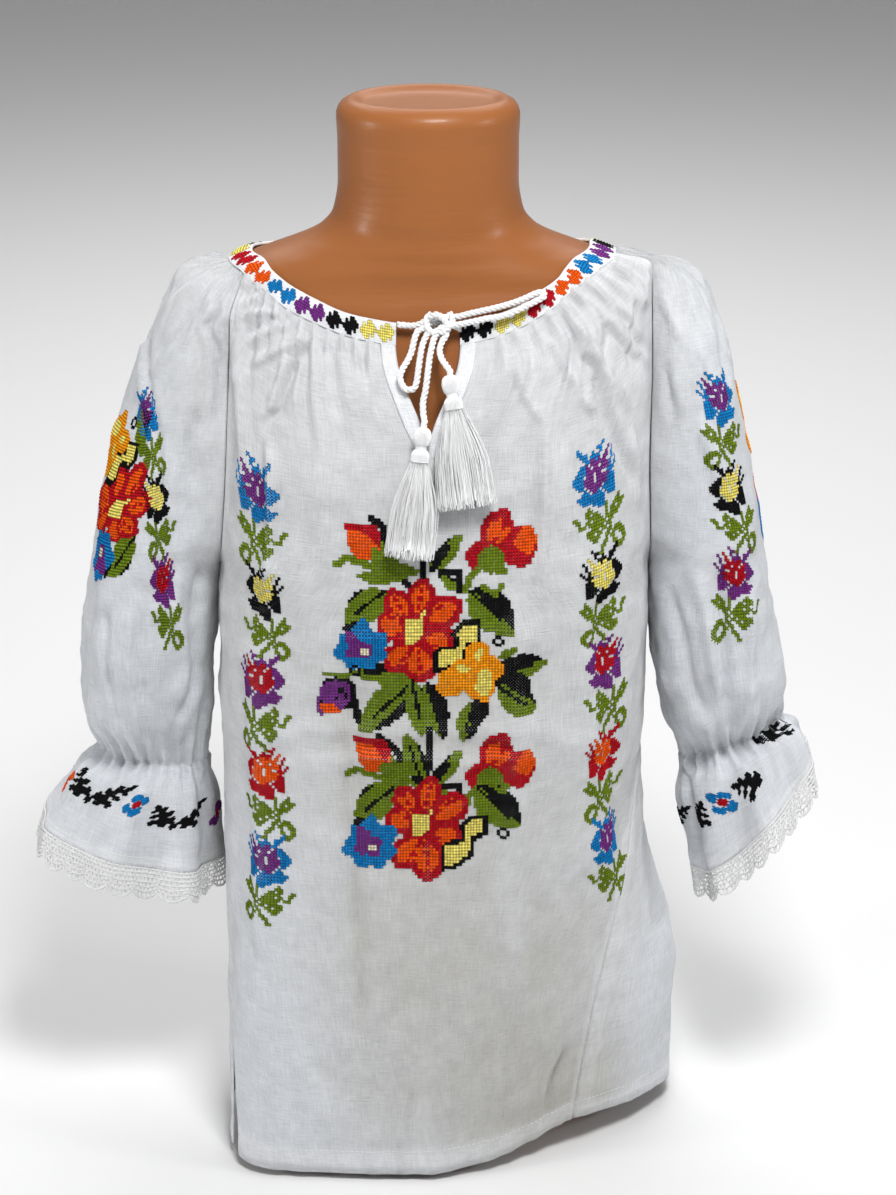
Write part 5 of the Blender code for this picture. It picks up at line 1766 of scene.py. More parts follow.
class Chart:
    """A cross-stitch chart that is drawn shape over shape. Places are in columns and rows."""

    def __init__(self, columns, rows):
        self.cells = np.full((rows, columns), ".")
        self.row, self.column = np.mgrid[0:rows, 0:columns] + 0.5

    def fill(self, inside, thread):
        self.cells[inside] = thread

    def oval(self, middle, half_width, half_height, turn=0.0):
        dx, dy = self.column - middle[0], self.row - middle[1]
        cosine, sine = math.cos(math.radians(turn)), math.sin(math.radians(turn))
        along, across = dx * cosine + dy * sine, dy * cosine - dx * sine
        return (along / half_width) ** 2 + (across / half_height) ** 2 < 1

    def petal(self, root, tip, half_width, fullest=0.6, part=1.0):
        """A petal or a leaf from its root to its tip, fullest at a share of its length."""
        step = np.array(tip, float) - root
        length = math.hypot(*step)
        dx, dy = self.column - root[0], self.row - root[1]
        t = (dx * step[0] + dy * step[1]) / length**2
        side = (dy * step[0] - dx * step[1]) / length
        bend = np.where(t < fullest, t / fullest / 2, 0.5 + (t - fullest) / (1 - fullest) / 2)
        wide = half_width * part * np.sin(math.pi * np.clip(bend, 0, 1)) ** 0.8
        return (np.abs(side) < wide) & (t > 0) & (t < 1), side

    def polygon(self, corners):
        inside = np.zeros(self.cells.shape, bool)
        for (x0, y0), (x1, y1) in zip(corners, (*corners[1:], corners[0])):
            if y0 == y1:
                continue
            crossing = x0 + (self.row - y0) * (x1 - x0) / (y1 - y0)
            inside ^= ((self.row < y0) != (self.row < y1)) & (self.column < crossing)
        return inside

    def line(self, points, width=1.0):
        near = np.zeros(self.cells.shape, bool)
        for start, end in zip(points, points[1:]):
            step = np.array(end, float) - start
            t = (self.column - start[0]) * step[0] + (self.row - start[1]) * step[1]
            t = np.clip(t / (step @ step), 0, 1)
            dx = self.column - start[0] - t * step[0]
            dy = self.row - start[1] - t * step[1]
            near |= np.hypot(dx, dy) < width / 2 + 0.12
        return near

    def stamp(self, pattern, column, row, threads=None, mirrored=False):
        """Puts a small chart on this one, its letters exchanged for other threads."""
        for j, line in enumerate(pattern):
            for i, letter in enumerate(line[::-1] if mirrored else line):
                if letter != ".":
                    self.cells[row + j, column + i] = (threads or {}).get(letter, letter)


def draw_leaf(chart, root, tip, half_width, dark_side=1, dark_from=0.45, vein=True):
    """A green leaf with black on one side from a share of its width, and perhaps a black vein."""
    leaf, side = chart.petal(root, tip, half_width, 0.45)
    chart.fill(leaf, "g")
    chart.fill(leaf & (side * dark_side > half_width * dark_from), "k")
    if vein:
        middle = [root[k] + (tip[k] - root[k]) * 0.72 for k in range(2)]
        chart.fill(chart.line((root, middle), 1.0) & leaf, "k")


def around(c, r, places):
    """Places given from a flower's middle."""
    return [(c + x, r + y) for x, y in places]


ROSE_PETALS = (
    # root, tip, half width
    ((0.5, -4), (3.5, -18.5), 4.6),
    ((3, -2), (15.5, -10.5), 5.4),
    ((3, 1), (13.0, 5.5), 5.8),
    ((1, 3), (2.5, 18.5), 6.6),
    ((-1, 3), (-9.0, 14.5), 5.4),
    ((-3, 0), (-12.0, -4.5), 5.6),
    ((-2, -3), (-8.0, -14.5), 4.6),
)


def draw_rose(chart, c, r):
    """The big red flower: seven petals with vermilion hearts round a yellow middle."""
    petals = [(*around(c, r, (root, tip)), half) for root, tip, half in ROSE_PETALS]
    for root, tip, half in petals:
        chart.fill(chart.petal(root, tip, half, 0.62)[0], "r")
    chart.fill(chart.oval((c, r), 7.5, 8.0), "r")
    for k, (root, tip, half) in enumerate(petals):
        near = [root[i] + (tip[i] - root[i]) * 0.12 for i in range(2)]
        far = [root[i] + (tip[i] - root[i]) * 0.84 for i in range(2)]
        heart, side = chart.petal(near, far, half, 0.62, 0.6)
        chart.fill(heart, "v")
        rib = np.abs(side + 0.4 * half * math.sin(2.1 * k)) < 0.7
        chart.fill(heart & rib & (chart.row % 3 > 0.6), "r")
    chart.fill(chart.polygon(around(c, r, ((-3, -4), (3, -4), (3, 0.5), (0, 4), (-3, 4)))), "y")
    chart.fill(chart.line(around(c, r, ((2.5, -4.5), (3.6, -6.5))), 0.9), "y")


BLUET_TIPS = ((1, -10.5), (9.5, -6), (9.5, 3), (4.5, 8), (-4, 8.5), (-9.5, 2.5), (-6.5, -5.5))


def draw_bluet(chart, c, r):
    """The blue star flower with a purple heart."""
    for tip in around(c, r, BLUET_TIPS):
        chart.fill(chart.petal((c, r), tip, 3.9, 0.45)[0], "b")
    chart.fill(chart.oval((c, r - 1.0), 6.0, 6.0), "b")
    for tip in around(c, r, ((-4.5, -6.5), (4.5, -1.5), (3.0, 3.8), (-5.2, 2.6))):
        chart.fill(chart.petal((c, r), tip, 2.6, 0.4)[0], "p")
    chart.fill(chart.oval((c, r), 3.6, 3.2), "p")
    chart.fill(chart.polygon(around(c, r, ((0, 0), (2.6, 0), (2.6, 2.2), (0, 2.2)))), "c")


ZIGZAG = ((0, 11), (1, 10), (7, 9), (7, 5.5), (6, 4), (9.5, 1), (14.5, 1), (14.5, 7), (10.5, 8),
          (9.5, 14), (4, 17.5), (0, 18.5))


def draw_zigzag(chart, c, r):
    """The yellow zigzag with its black outline."""
    corners = around(c, r, ZIGZAG)
    chart.fill(chart.polygon(corners), "y")
    chart.fill(chart.line((*corners, corners[0]), 1.15), "k")


# tip and half width of each petal; start, tip and half width of each heart
MARIGOLD_PETALS = (
    (2, -9.5, 4.4), (10.5, 1.5, 4.4), (4.5, 12.5, 5.2), (-12.5, 9.5, 5.0), (-8, 1, 3.8),
)
MARIGOLD_HEARTS = ((1, -1, 2, -6.5, 1.5), (2, 4, 4, 11, 2.9), (-1, 2, -6.5, 0.8, 1.3))


def draw_marigold(chart, c, r):
    """The orange flower with yellow hearts."""
    for x, y, half in MARIGOLD_PETALS:
        chart.fill(chart.petal((c - 0.5, r + 2), (c + x, r + y), half, 0.6)[0], "o")
    chart.fill(chart.oval((c, r + 3), 6.0, 6.0), "o")
    for start_x, start_y, x, y, half in MARIGOLD_HEARTS:
        chart.fill(chart.petal((c + start_x, r + start_y), (c + x, r + y), half)[0], "y")
    chart.fill(chart.oval((c + 3.5, r + 5), 2.8, 3.4), "y")


def draw_bud(chart, c, r):
    """The red and vermilion bud on the left, with its calyx."""
    chart.fill(chart.line(around(c, r, ((-9, 13), (-6, 11), (-1, 12), (8, 15))), 2.0), "g")
    chart.fill(chart.petal((c + 11, r + 17), (c - 2, r + 16.5), 2.4, 0.4)[0], "g")
    chart.fill(chart.petal((c + 12, r + 18), (c + 3, r + 4), 3.8, 0.5)[0], "g")
    corners = ((-6.5, 0), (4, 0), (6, 4), (5.5, 7), (3, 11), (-2, 11.5), (-5, 7))
    chart.fill(chart.polygon(around(c, r, corners)), "v")
    corners = ((-6.5, 0), (4, 0), (6, 4), (5, 7), (2, 4), (-1, 2), (-6.5, 2))
    chart.fill(chart.polygon(around(c, r, corners)), "r")
    chart.fill(chart.petal((c + 6, r + 13), (c + 3, r + 7), 2.2, 0.5)[0], "g")


def draw_poppy(chart, c, r):
    """The red poppy on the right, seen from its side, with its calyx."""
    for root, tip, half, thread in (
        ((-2, 7), (-11, 6.5), 4.4, "r"),
        ((-5, 5), (3, -7.5), 5.2, "r"),
        ((-1, 6), (13, 3), 6.6, "r"),
        ((5, 3), (13, 2), 4.4, "v"),
        ((-4, 2), (1, -4.5), 2.2, "v"),
        ((-1, 3.5), (4, -2.5), 1.3, "v"),
    ):
        root, tip = around(c, r, (root, tip))
        chart.fill(chart.petal(root, tip, half, 0.6)[0], thread)
    chart.fill(chart.oval((c - 2.5, r + 8), 4.4, 4.6), "g")
    chart.fill(chart.petal((c - 3, r + 9), (c + 3.0, r + 12.5), 2.0, 0.5)[0], "g")
    chart.fill(chart.line(around(c, r, ((-5.5, 10), (-9.5, 13), (-11, 18))), 1.8), "g")


def draw_violet(chart, c, r):
    """The purple bud with a black edge and a vermilion foot."""
    chart.fill(chart.oval((c, r), 6.4, 5.6, -15), "k")
    chart.fill(chart.oval((c - 0.8, r + 0.3), 5.2, 4.8, -15), "p")
    for place in around(c, r, ((1, -1), (2.5, 1.2), (-0.5, 1.6))):
        chart.fill(chart.oval(place, 0.9, 0.8), "k")
    chart.fill(chart.polygon(around(c, r, ((-6, 3), (-1, 3), (2, 6), (-6, 6)))), "v")
    chart.fill(chart.line(around(c, r, ((-6.6, 1.5), (-6.6, 5.8), (-5.5, 6))), 0.9), "p")


def draw_tendril(chart, c, r):
    """The small leaf on a black curl, over the rose."""
    draw_leaf(chart, (c, r), (c + 11, r - 12.5), 3.0, -1, 0.5, False)
    chart.fill(chart.line(around(c, r, ((1, -1), (6, -8))), 2.2), "k")
    chart.fill(chart.line(around(c, r, ((4, 0.5), (10, 0), (10, 6))), 2.0), "k")
    chart.fill(chart.petal((c + 4, r + 1), (c + 9, r + 6), 1.6)[0], "g")


def draw_posy(chart, c, r):
    """The rose with its two leaves, the zigzag and the bluet."""
    draw_leaf(chart, (c - 9.5, r - 14), (c - 23, r - 2), 5.6, 1, 0.8)
    chart.fill(chart.line(around(c, r, ((-23, -0.5), (-20, -2))), 1.6), "k")
    draw_leaf(chart, (c + 18, r - 14), (c + 33, r + 0.5), 6.8, -1, 0.1)
    chart.fill(chart.line(around(c, r, ((23, -15), (27, -12), (29, -15))), 1.6), "g")
    draw_rose(chart, c, r)
    draw_zigzag(chart, c + 7, r - 4)
    draw_bluet(chart, c - 18, r + 6.5)
    chart.stamp(CROSS, int(c + 26), int(r + 1))


BOUQUET_COLUMNS = 88
BOUQUET_ROWS = 132


def bouquet():
    """The front's bouquet: a whole one, and under it the buds and the posy again."""
    chart = Chart(BOUQUET_COLUMNS, BOUQUET_ROWS)
    chart.fill(chart.line(((24, 6), (28, 8.5), (28, 13), (30, 19), (33, 23), (36, 27)), 1.8), "k")
    chart.fill(chart.line(((41, 19), (41, 27)), 2.4), "k")
    chart.fill(chart.petal((40, 23), (31, 22), 2.2)[0], "g")
    draw_tendril(chart, 43, 23)
    chart.stamp(CROSS, 49, 22)
    draw_bud(chart, 21.5, 8)
    draw_poppy(chart, 66, 11)
    draw_leaf(chart, (34, 56), (19, 60), 3.0, 1, 0.1)
    draw_leaf(chart, (40, 60), (26, 62), 2.6, -1, 0.5, False)
    draw_posy(chart, 38, 43)
    draw_leaf(chart, (65, 56), (83, 56), 4.6, -1, 0.25)
    chart.fill(chart.petal((66, 53), (72, 48.5), 1.5)[0], "g")
    chart.fill(chart.oval((71, 62), 6.0, 4.6, 20), "k")
    draw_leaf(chart, (66, 63), (79, 71), 5.0, -1, 0.35)
    draw_leaf(chart, (38, 61), (19, 77), 5.4, -1, 0.5)
    draw_leaf(chart, (37, 60), (41, 78), 4.2, -1, 0.6)
    draw_leaf(chart, (42, 61), (48, 79), 4.4, -1, -0.2)
    chart.fill(chart.line(((43, 76), (43, 84), (42, 96)), 1.6), "k")
    draw_leaf(chart, (58, 68), (54, 80), 3.8, -1, 0.2)
    chart.fill(chart.oval((60, 70), 3.4, 3.6), "k")
    draw_marigold(chart, 58, 55)
    draw_violet(chart, 12, 66)
    chart.fill(chart.line(((17, 68), (19, 74)), 2.4), "k")
    chart.fill(chart.line(((8, 59.5), (15, 60), (20, 58)), 1.2), "g")
    chart.stamp(CROSS, 16, 56)
    chart.fill(chart.line(((26, 78), (30, 81), (33, 84), (34, 95), (36, 98)), 1.8), "k")
    draw_leaf(chart, (41, 95), (35, 77), 3.9, 1, 0.6)
    draw_leaf(chart, (43, 95), (36, 92), 2.6, 1, 0.3)
    draw_tendril(chart, 43, 95)
    draw_bud(chart, 24, 79)
    draw_poppy(chart, 66, 85)
    draw_posy(chart, 40.5, 109.5)
    return chart.cells


def sideways_posy():
    """The posy with its marigold as it lies on a sleeve: up on the chart is the front's right."""
    chart = Chart(74, 70)
    draw_posy(chart, 30, 24)
    draw_marigold(chart, 50, 36)
    return chart.cells.T[::-1, ::-1]


FLOWER_STEP = 17
SPRIG_STEP = 14


def strip(flowers, mirrored):
    """Flowers and sprigs by turns, each unit the mirror image of the one above."""
    chart = Chart(25, len(flowers) * (FLOWER_STEP + SPRIG_STEP) + 6)
    for k, (outer, inner) in enumerate(flowers):
        turned_over = mirrored if k % 2 == 0 else not mirrored
        row = k * (FLOWER_STEP + SPRIG_STEP)
        chart.stamp(FLOWER, 3, row, {"a": outer, "i": inner}, turned_over)
        chart.stamp(SPRIG, 2, row + FLOWER_STEP, None, turned_over)
    return chart.cells


def mirrored_pair(pattern, middle):
    """A pattern, its middle and its mirror image, side by side."""
    return tuple(half + centre + half[::-1] for half, centre in zip(pattern, middle))


def chart_of(pattern, threads=None):
    chart = Chart(len(pattern[0]), len(pattern))
    chart.stamp(pattern, 0, 0, threads)
    return chart.cells


STITCH_WIDE = 1.47
STITCH_TALL = 1.57
THREAD_HALF_WIDTH = 0.56
THREAD_FOOT = -0.05
THREAD_HEIGHTS = (0.62, 0.80)
# place along a thread, share of its width, share of its height
THREAD_SECTIONS = ((0.02, 0.9, 0.35), (0.5, 1.0, 1.0), (0.98, 0.9, 0.35))
STITCH_SHADES = (0.78, 1.12)
FRONT_SEED = 70
SLEEVE_SEED = 71
BAND_SEED = 73
# painted shade at each thread's two ends and a painted highlight at its middle, as shares of the dye
THREAD_PAINTED_SHADE_AND_HIGHLIGHT = (0.2, 1.4, 0.2)


class Stitches:
    """Cross-stitches in one mesh. Each has two threads that cross, and a thread is a low ridge."""

    def __init__(self, seed):
        self.points, self.dyes = [], []
        self.draw = np.random.default_rng(seed)

    def add(self, corners, normals, letters):
        """Adds stitches by their four corners, in turn round each."""
        dyes = np.array([DYES[letter] for letter in letters])
        dyes = dyes * self.draw.uniform(*STITCH_SHADES, (len(dyes), 1))
        for first, height in enumerate(THREAD_HEIGHTS):
            start, along = corners[:, first], corners[:, first + 2] - corners[:, first]
            side = unit(np.cross(normals, along)) * THREAD_HALF_WIDTH
            ridge = []
            for t, wide, high in THREAD_SECTIONS:
                middle = start + along * t
                ridge.append(middle - side * wide + normals * THREAD_FOOT)
                ridge.append(middle + normals * height * high)
                ridge.append(middle + side * wide + normals * THREAD_FOOT)
            self.points.append(np.stack(ridge, axis=1))
            # painted shade at the thread's ends and a painted highlight at its middle
            shade = np.repeat(THREAD_PAINTED_SHADE_AND_HIGHLIGHT, 3)[None, :, None]
            self.dyes.append((dyes[:, None] * shade).reshape(-1, 3))

    def sew(self, cloth_at, cells, route, wide=STITCH_WIDE, tall=STITCH_TALL):
        """Sews a chart, whose middle column follows a route of places across and down the cloth."""
        rows, columns = cells.shape
        route = np.array(route, float)
        down, run = np.arange(rows + 1) * tall, run_of(route)
        middle = at_distances(down, run, route)
        way = unit(np.gradient(middle, axis=0))
        offset = (np.arange(columns + 1) - columns / 2) * wide
        sideways = np.stack([way[:, 1], -way[:, 0]], axis=1)
        grid = middle[:, None] + sideways[:, None] * offset[None, :, None]
        self.sew_grid(cloth_at, cells, *grid.reshape(-1, 2).T)

    def sew_grid(self, cloth_at, cells, u, w):
        """Sews a chart on a grid of places across and down the cloth."""
        rows, columns = cells.shape
        points, normals = (a.reshape(rows + 1, columns + 1, 3) for a in cloth_at(u, w))
        j, i = np.nonzero(cells != ".")
        corners = [points[j, i], points[j, i + 1], points[j + 1, i + 1], points[j + 1, i]]
        self.add(np.stack(corners, axis=1), normals[j, i], cells[j, i])

    def piece(self, name, finish, slot):
        points, dyes = np.concatenate(self.points), np.concatenate(self.dyes)
        ridge = np.array([(0, 3, 4, 1), (1, 4, 5, 2), (3, 6, 7, 4), (4, 7, 8, 5)])
        faces = (np.arange(len(points))[:, None, None] * 9 + ridge).reshape(-1, 4)
        colours = np.concatenate([dyes, np.ones((len(dyes), 1))], axis=1)
        made = new_mesh(name, points.reshape(-1, 3), faces, finish, {"dye": colours})
        return place_piece(made, slot)


def on_sheet(panel, rows, columns, points):
    """A function from places across and down the cloth, in millimetres, to its points and normals.

    The points are those of the cloth's own mesh, so what is sewn on it lies on its faces.
    """
    row_numbers, down = panel.down_the_middle()

    def cloth_at(u, w):
        v = np.interp(w, down, row_numbers)
        across = u / np.where(u < 0, panel.half_length(v, -1), panel.half_length(v, 1))
        across = np.where(v >= panel.closed_from, (across + 1) % 2 - 1, np.clip(across, -1, 1))
        j, t = cell_of(rows, v)
        i, s = cell_of(columns, across)
        upper = points[j, i] * (1 - s) + points[j, i + 1] * s
        lower = points[j + 1, i] * (1 - s) + points[j + 1, i + 1] * s
        return upper * (1 - t) + lower * t, panel.normal(v, across)

    return cloth_at


def cell_of(keys, places):
    """The cell of a grid that each place lies in, and the share of the way through it."""
    number = np.clip(np.searchsorted(keys, places, side="right") - 1, 0, len(keys) - 2)
    return number, ((places - keys[number]) / (keys[number + 1] - keys[number]))[:, None]


def on_band(u, w):
    """The neckband's points and normals at places along it and down from its upper edge."""
    side = 1 - 2 * w / BAND_WIDTH
    angle = np.interp(u, BAND_RUN, BAND_ANGLES)
    points = band_at(angle, side, 1.0 - BAND_CROWN * np.abs(side) ** 3)
    along = band_at(angle + 0.4, side, 1.0) - band_at(angle - 0.4, side, 1.0)
    upward = band_at(angle, side + 0.05, 1.0) - band_at(angle, side - 0.05, 1.0)
    return points, unit(np.cross(along, upward))


def straight(u, w, length=400.0):
    return ((u, w), (u, w + length))


BOUQUET_PLACE = (2.0, 75.3)
STRIP_TALL = 1.5
SIDE_TALL = {-1: 1.52, 1: 1.57}
SIDE_FLOWERS = (("b", "p"), ("k", "y"), ("p", "r"), ("r", "v"), ("b", "p"))
SIDE_ROUTES = {
    -1: ((-86.8, 67.5), (-84.5, 127), (-84.5, 180), (-82.6, 220), (-82.8, 330)),
    1: ((84.0, 57.5), (85.0, 72), (90, 120), (94.5, 174), (95.5, 222), (100.5, 270), (101.5, 335)),
}
SLEEVE_FLOWERS = (("b", "p"), ("k", "y"), ("p", "r"))
SLEEVE_ROUTES = {
    "right": ((-36, 84), (-45, 98), (-53, 120), (-63, 143), (-71, 168), (-74, 193), (-76, 250)),
    "left": ((-44, 86), (-46, 119), (-47, 145), (-46.5, 171), (-50, 193), (-52, 250)),
}
# A stitch's width in the strip, which makes up for how the sleeve's own lines spread or close.
SLEEVE_STRIP_WIDE = {"right": 0.70, "left": 1.3}
# places across the sleeve of the middles of its two posies, and down to their tops
POSIES = {"right": ((-28, 77), (58, 80)), "left": ((4, 82), (84, 84))}
# The leaf at the posy's corner is cut to this, so that the strip's first flower has room.
POSY_LEAF_ROWS = 27
POSY_LEAF_COLUMNS = 53
POSY_WIDE = {"right": 1.08, "left": 1.2}
# thread, place across and place down of the middle
CUFF_FLOWERS = {
    "right": (("v", -9, 317), ("b", -55.5, 315), ("p", -115, 324)),
    "left": (("b", -70, 305), ("v", 28, 303), ("p", 80, 306)),
}
CUFF_GARLANDS = {
    "right": ((-30, 313), (-82, 320), (29, 319), (88, 321)),
    "left": ((54, 305), (105, 307)),
}
# In the fold of the left cuff only the ends of a garland show: place across and down, True for its
# other end, how much wider it is sewn, and how far it leans.
SPLIT_GARLAND = (
    (-84, 306, True, 0.85, 0.0),
    (-53, 304, False, 1.25, 0.3),
    (-15, 293, True, 1.3, -0.5),
)
CUFF_STITCH = 1.25
# The gathers of the ruffle leave a motif narrower than it is sewn.
CUFF_FLOWER_NARROW = {"right": 0.72, "left": 1.0}
GARLAND_NARROW = 0.93


def front_embroidery(cloth_at, finish):
    stitches = Stitches(FRONT_SEED)
    stitches.sew(cloth_at, bouquet(), straight(*BOUQUET_PLACE))
    for side, route in SIDE_ROUTES.items():
        stitches.sew(cloth_at, strip(SIDE_FLOWERS, side > 0), route, STITCH_WIDE, SIDE_TALL[side])
    return stitches.piece("front_embroidery", finish, "white_cotton")


def sleeve_embroidery(name, facing, cloth_at, finish):
    """A sleeve's strip of flowers, its posies and the row round its ruffle, drawn as seen in front."""
    stitches = Stitches(SLEEVE_SEED)
    seen = slice(None, None, facing)

    def centred(cells, u, w, narrow=1.0, lean=0.0):
        """Sews a chart about a place, true to size where the panel's own lines spread or close."""
        near = cloth_at(np.array([u - 2, u + 2, u, u]), np.array([w, w, w - 2, w + 2]))[0]
        wide = narrow * CUFF_STITCH * 4 / np.linalg.norm(near[1] - near[0])
        tall = CUFF_STITCH * 4 / np.linalg.norm(near[3] - near[2])
        half = len(cells) * tall / 2 / math.hypot(1, lean)
        route = ((u - lean * half, w - half), (u + lean * half, w + half))
        stitches.sew(cloth_at, cells[:, seen], route, wide, tall)

    strip_cells = strip(SLEEVE_FLOWERS, name == "right")[:, seen]
    stitches.sew(cloth_at, strip_cells, SLEEVE_ROUTES[name], SLEEVE_STRIP_WIDE[name], STRIP_TALL)
    posy = sideways_posy()
    posy[:POSY_LEAF_ROWS, POSY_LEAF_COLUMNS:] = "."
    for u, w in POSIES[name]:
        stitches.sew(cloth_at, posy[:, seen], straight(u, w), POSY_WIDE[name])
    for thread, u, w in CUFF_FLOWERS[name]:
        centred(chart_of(CUFF_FLOWER, {"a": thread, "i": "r"}), u, w, CUFF_FLOWER_NARROW[name])
    for u, w in CUFF_GARLANDS[name]:
        centred(chart_of(mirrored_pair(GARLAND, GARLAND_MIDDLE)), u, w, GARLAND_NARROW)
    if name == "left":
        for u, w, other_end, narrow, lean in SPLIT_GARLAND:
            end = chart_of(GARLAND)
            centred(end[:, ::-1] if other_end else end, u, w, narrow, lean)
    return stitches.piece(f"sleeve_{name}_embroidery", finish, "white_cotton")


STAR_PAIRS = "kyrvbp"
STAR_PITCH = 8.9
STAR_STEP = 8
BAND_STITCH_TALL = 1.36
STAR_TOP = 1.1


def band_embroidery(finish):
    """Pairs of stars of one colour right round the neckband."""
    count = 2 * round(BAND_RUN[-1] / 2 / STAR_PITCH)
    chart = Chart(count * STAR_STEP, len(STAR))
    for k in range(count):
        thread = STAR_PAIRS[k // 2 % len(STAR_PAIRS)]
        chart.stamp(STAR, k * STAR_STEP, 0, {"a": thread})
        if k % 2 == 0:
            chart.cells[3, k * STAR_STEP + STAR_STEP - 1] = thread
    across = np.arange(count * STAR_STEP + 1) * (BAND_RUN[-1] / (count * STAR_STEP))
    down = STAR_TOP + np.arange(len(STAR) + 1) * BAND_STITCH_TALL
    u, w = np.meshgrid(across, down)
    stitches = Stitches(BAND_SEED)
    stitches.sew_grid(on_band, chart.cells, u.ravel(), w.ravel())
    return stitches.piece("neckband_embroidery", finish, "band_cotton")


# ---------------------------------------------------------------- lines of small stitches
SEWN_STITCH = 1.7
SEWN_GAP = 0.9
SEWN_RADIUS = 0.19
SEWN_RISE = 0.18
SEWN_SINK = 0.1
THREAD_CORNERS = 4
FACING_LINE_START = 2.0
# rows of the lines: the hem's just above its fold, two along the elastic and one over the lace
HEM_LINE = LAST_ROW - HEM_ROWS - 0.012
CUFF_LINES = (7.97, 8.04, 9.87)
HEM_LINE_MARGIN = 3.0
ROUND_LINE_POINTS = 60


def running_stitches(first, length):
    """Distances along a line, four to a stitch."""
    for start in np.arange(first, length - SEWN_STITCH, SEWN_STITCH + SEWN_GAP):
        yield start + np.linspace(0, SEWN_STITCH, 4)


def sew_line(tubes, cloth_at, route):
    """A line of running stitches along a route of places across and down the cloth."""
    run = run_of(route)
    for places in running_stitches(0, run[-1]):
        points, normals = cloth_at(*at_distances(places, run, route).T)
        rise = np.array([-SEWN_SINK, SEWN_RISE, SEWN_RISE, -SEWN_SINK])[:, None]
        tubes.add(points + normals * rise, SEWN_RADIUS, THREAD_CORNERS)


def round_line(panel, row, margin):
    """A route right across a panel at one of its rows, from margin to margin."""
    w = np.interp(row, *panel.down_the_middle())
    ends = [sign * (panel.half_length(np.array([row]), sign)[0] - margin) for sign in (-1, 1)]
    return np.stack([np.linspace(*ends, ROUND_LINE_POINTS), np.full(ROUND_LINE_POINTS, w)], axis=1)


def sewn_lines(name, panel, cloth_at, rows, margin, finish):
    """Rows of running stitches right across a panel."""
    tubes = Tubes()
    for row in rows:
        sew_line(tubes, cloth_at, round_line(panel, row, margin))
    return place_piece(tubes.mesh(f"{name}_stitching", finish), "white_cotton")


def facing_lines(name, panel, side, finish):
    """The line of stitches that holds a facing's outer edge."""
    edge = facing_grid(panel, side)[:, -2]
    run = run_of(edge)
    tubes = Tubes()
    for places in running_stitches(FACING_LINE_START, run[-1]):
        points = at_distances(places, run, edge)
        points[1:3, 1] -= SEWN_RISE
        tubes.add(points, SEWN_RADIUS, THREAD_CORNERS)
    return place_piece(tubes.mesh(f"{name}_stitching", finish), "facing_cotton")


# ---------------------------------------------------------------- floor, light and camera
# where the floor starts and where it bends up, the bend's radius, the top and half the width
FLOOR_FRONT = -5000.0
FLOOR_BACK = 4000.0
BEND_RADIUS = 900
BEND_STEPS = 12
BACKDROP_TOP = 5000.0
STAGE_HALF_WIDTH = 6000.0


def make_stage():
    """A plain pale floor that curves up into a backdrop far behind."""
    profile = [(FLOOR_FRONT, 0.0), (FLOOR_BACK, 0.0)]
    for a in np.linspace(0, math.pi / 2, BEND_STEPS)[1:]:
        rise = BEND_RADIUS - BEND_RADIUS * math.cos(a)
        profile.append((FLOOR_BACK + BEND_RADIUS * math.sin(a), rise))
    profile.append((FLOOR_BACK + BEND_RADIUS, BACKDROP_TOP))
    points = [(x, y, z) for y, z in profile for x in (-STAGE_HALF_WIDTH, STAGE_HALF_WIDTH)]
    faces = [(2 * k, 2 * k + 1, 2 * k + 3, 2 * k + 2) for k in range(len(profile) - 1)]
    finish = Finish("pale_floor", 0.9, (0.90, 0.90, 0.90))
    made = new_mesh("floor", points, faces, finish.material)


LIGHTS = (
    # name, place, aimed at, size, power in watts
    ("key", (0.14, -0.66, 1.27), (0.0, -0.05, 0.36), 0.3, 11.3),
    ("side", (-1.5, -0.55, 0.62), (0.0, 0.0, 0.28), 0.3, 6.0),
    ("far_side", (1.5, -0.5, 0.9), (0.1, 0.0, 0.3), 0.3, 5.0),
    ("floor_wash", (0.0, 1.2, 1.6), (0.0, 1.0, 0.0), 1.6, 20.0),
)
WORLD_LIGHT = 0.215


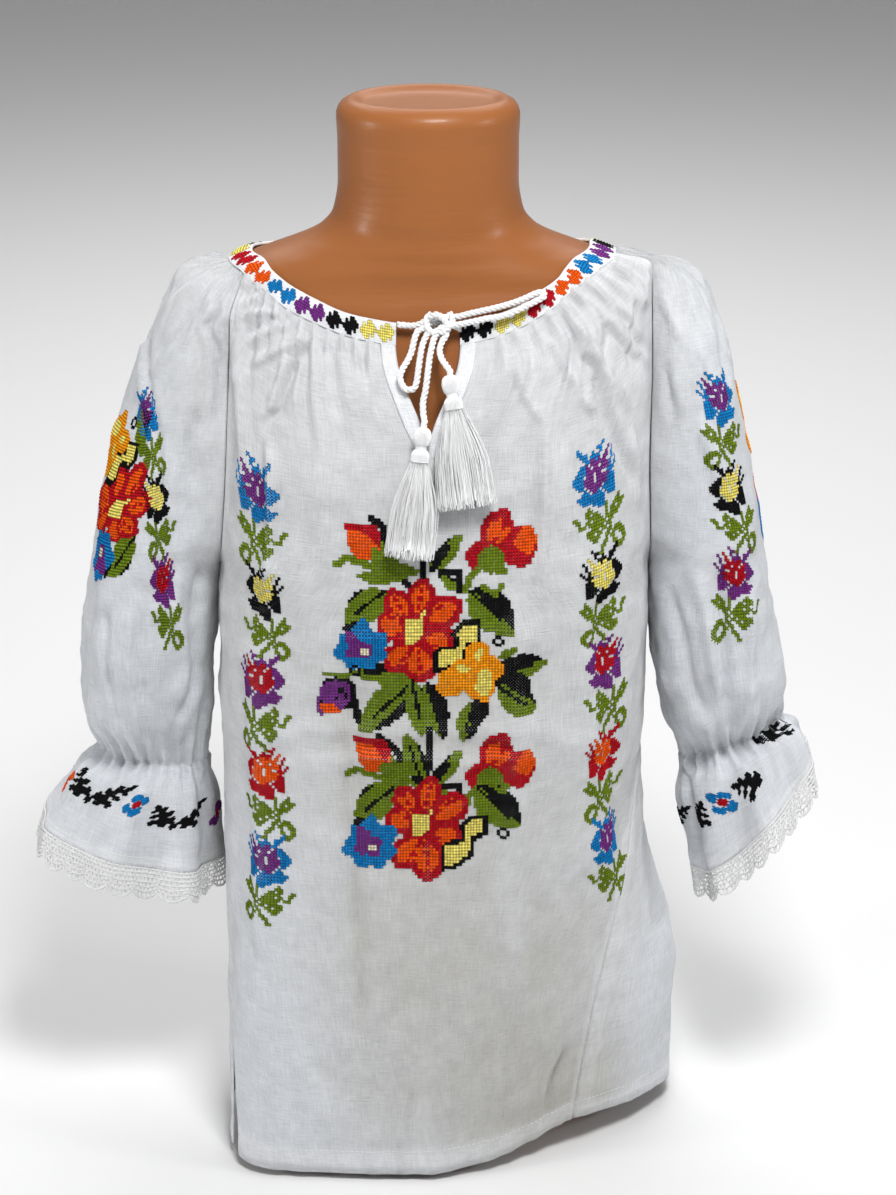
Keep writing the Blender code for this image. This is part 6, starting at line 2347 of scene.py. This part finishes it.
def make_lights():
    for name, place, aim, size, power in LIGHTS:
        lamp = bpy.data.lights.new(name, "AREA")
        lamp.size = size
        lamp.energy = power
        made = new_object(name, lamp)
        made.location = place
        made.visible_camera = False
        way = Vector(aim) - Vector(place)
        made.rotation_euler = way.to_track_quat("-Z", "Y").to_euler()
    world = bpy.data.worlds.new("studio")
    world.use_nodes = True
    back = world.node_tree.nodes["Background"]
    back.inputs["Color"].default_value = (1.0, 1.0, 1.0, 1)
    back.inputs["Strength"].default_value = WORLD_LIGHT
    bpy.context.scene.world = world


def make_camera():
    lens = bpy.data.cameras.new("camera")
    lens.lens = CAMERA_LENS
    lens.sensor_width = SENSOR
    made = new_object("camera", lens)
    made.location = CAMERA_PLACE
    made.rotation_euler = (math.radians(CAMERA_TILT), 0, 0)
    bpy.context.scene.camera = made


# ---------------------------------------------------------------- the whole scene
def main():
    bpy.context.scene.view_settings.view_transform = "Standard"
    make_camera()
    cord_cotton = thread_finish("cord_cotton", (0.94, 0.945, 0.95), 0.62)
    strings = make_strings(cord_cotton)
    tassels = {name: make_tassel(name, cord_cotton, TASSEL_SEED + k) for k, name in enumerate(TASSELS)}
    cotton = cotton_finish("white_cotton")
    make_form(plastic_finish())
    panels = make_panels()
    thread = stitch_finish()
    front, front_at = make_front(panels["front"], cotton)
    back, back_at = make_back(panels["back"], cotton)
    sewn_lines("front", panels["front"], front_at, [HEM_LINE], HEM_LINE_MARGIN, cord_cotton)
    sewn_lines("back", panels["back"], back_at, [HEM_LINE], HEM_LINE_MARGIN, cord_cotton)
    band = make_band(cotton)
    front_embroidery(front_at, thread)
    band_embroidery(thread)
    crochet = thread_finish("crochet_lace", (0.88, 0.885, 0.885), 0.8)
    sleeves, facings, laces = {}, {}, {}
    for name, side in (("right", -1), ("left", 1)):
        panel = panels[f"sleeve_{name}"]
        sleeves[name], sleeve_at = make_sleeve(f"sleeve_{name}", panel, cotton)
        sleeve_embroidery(name, side, sleeve_at, thread)
        sewn_lines(f"sleeve_{name}", panel, sleeve_at, CUFF_LINES, 0.0, cord_cotton)
        facings[name] = make_facing(f"slit_facing_{name}", panels["front"], side, cotton)
        facing_lines(f"slit_facing_{name}", panels["front"], side, cord_cotton)
        laces[name] = make_lace(f"lace_{name}", panel, crochet, LACE_SEED + side)
    make_stage()
    make_lights()


main()
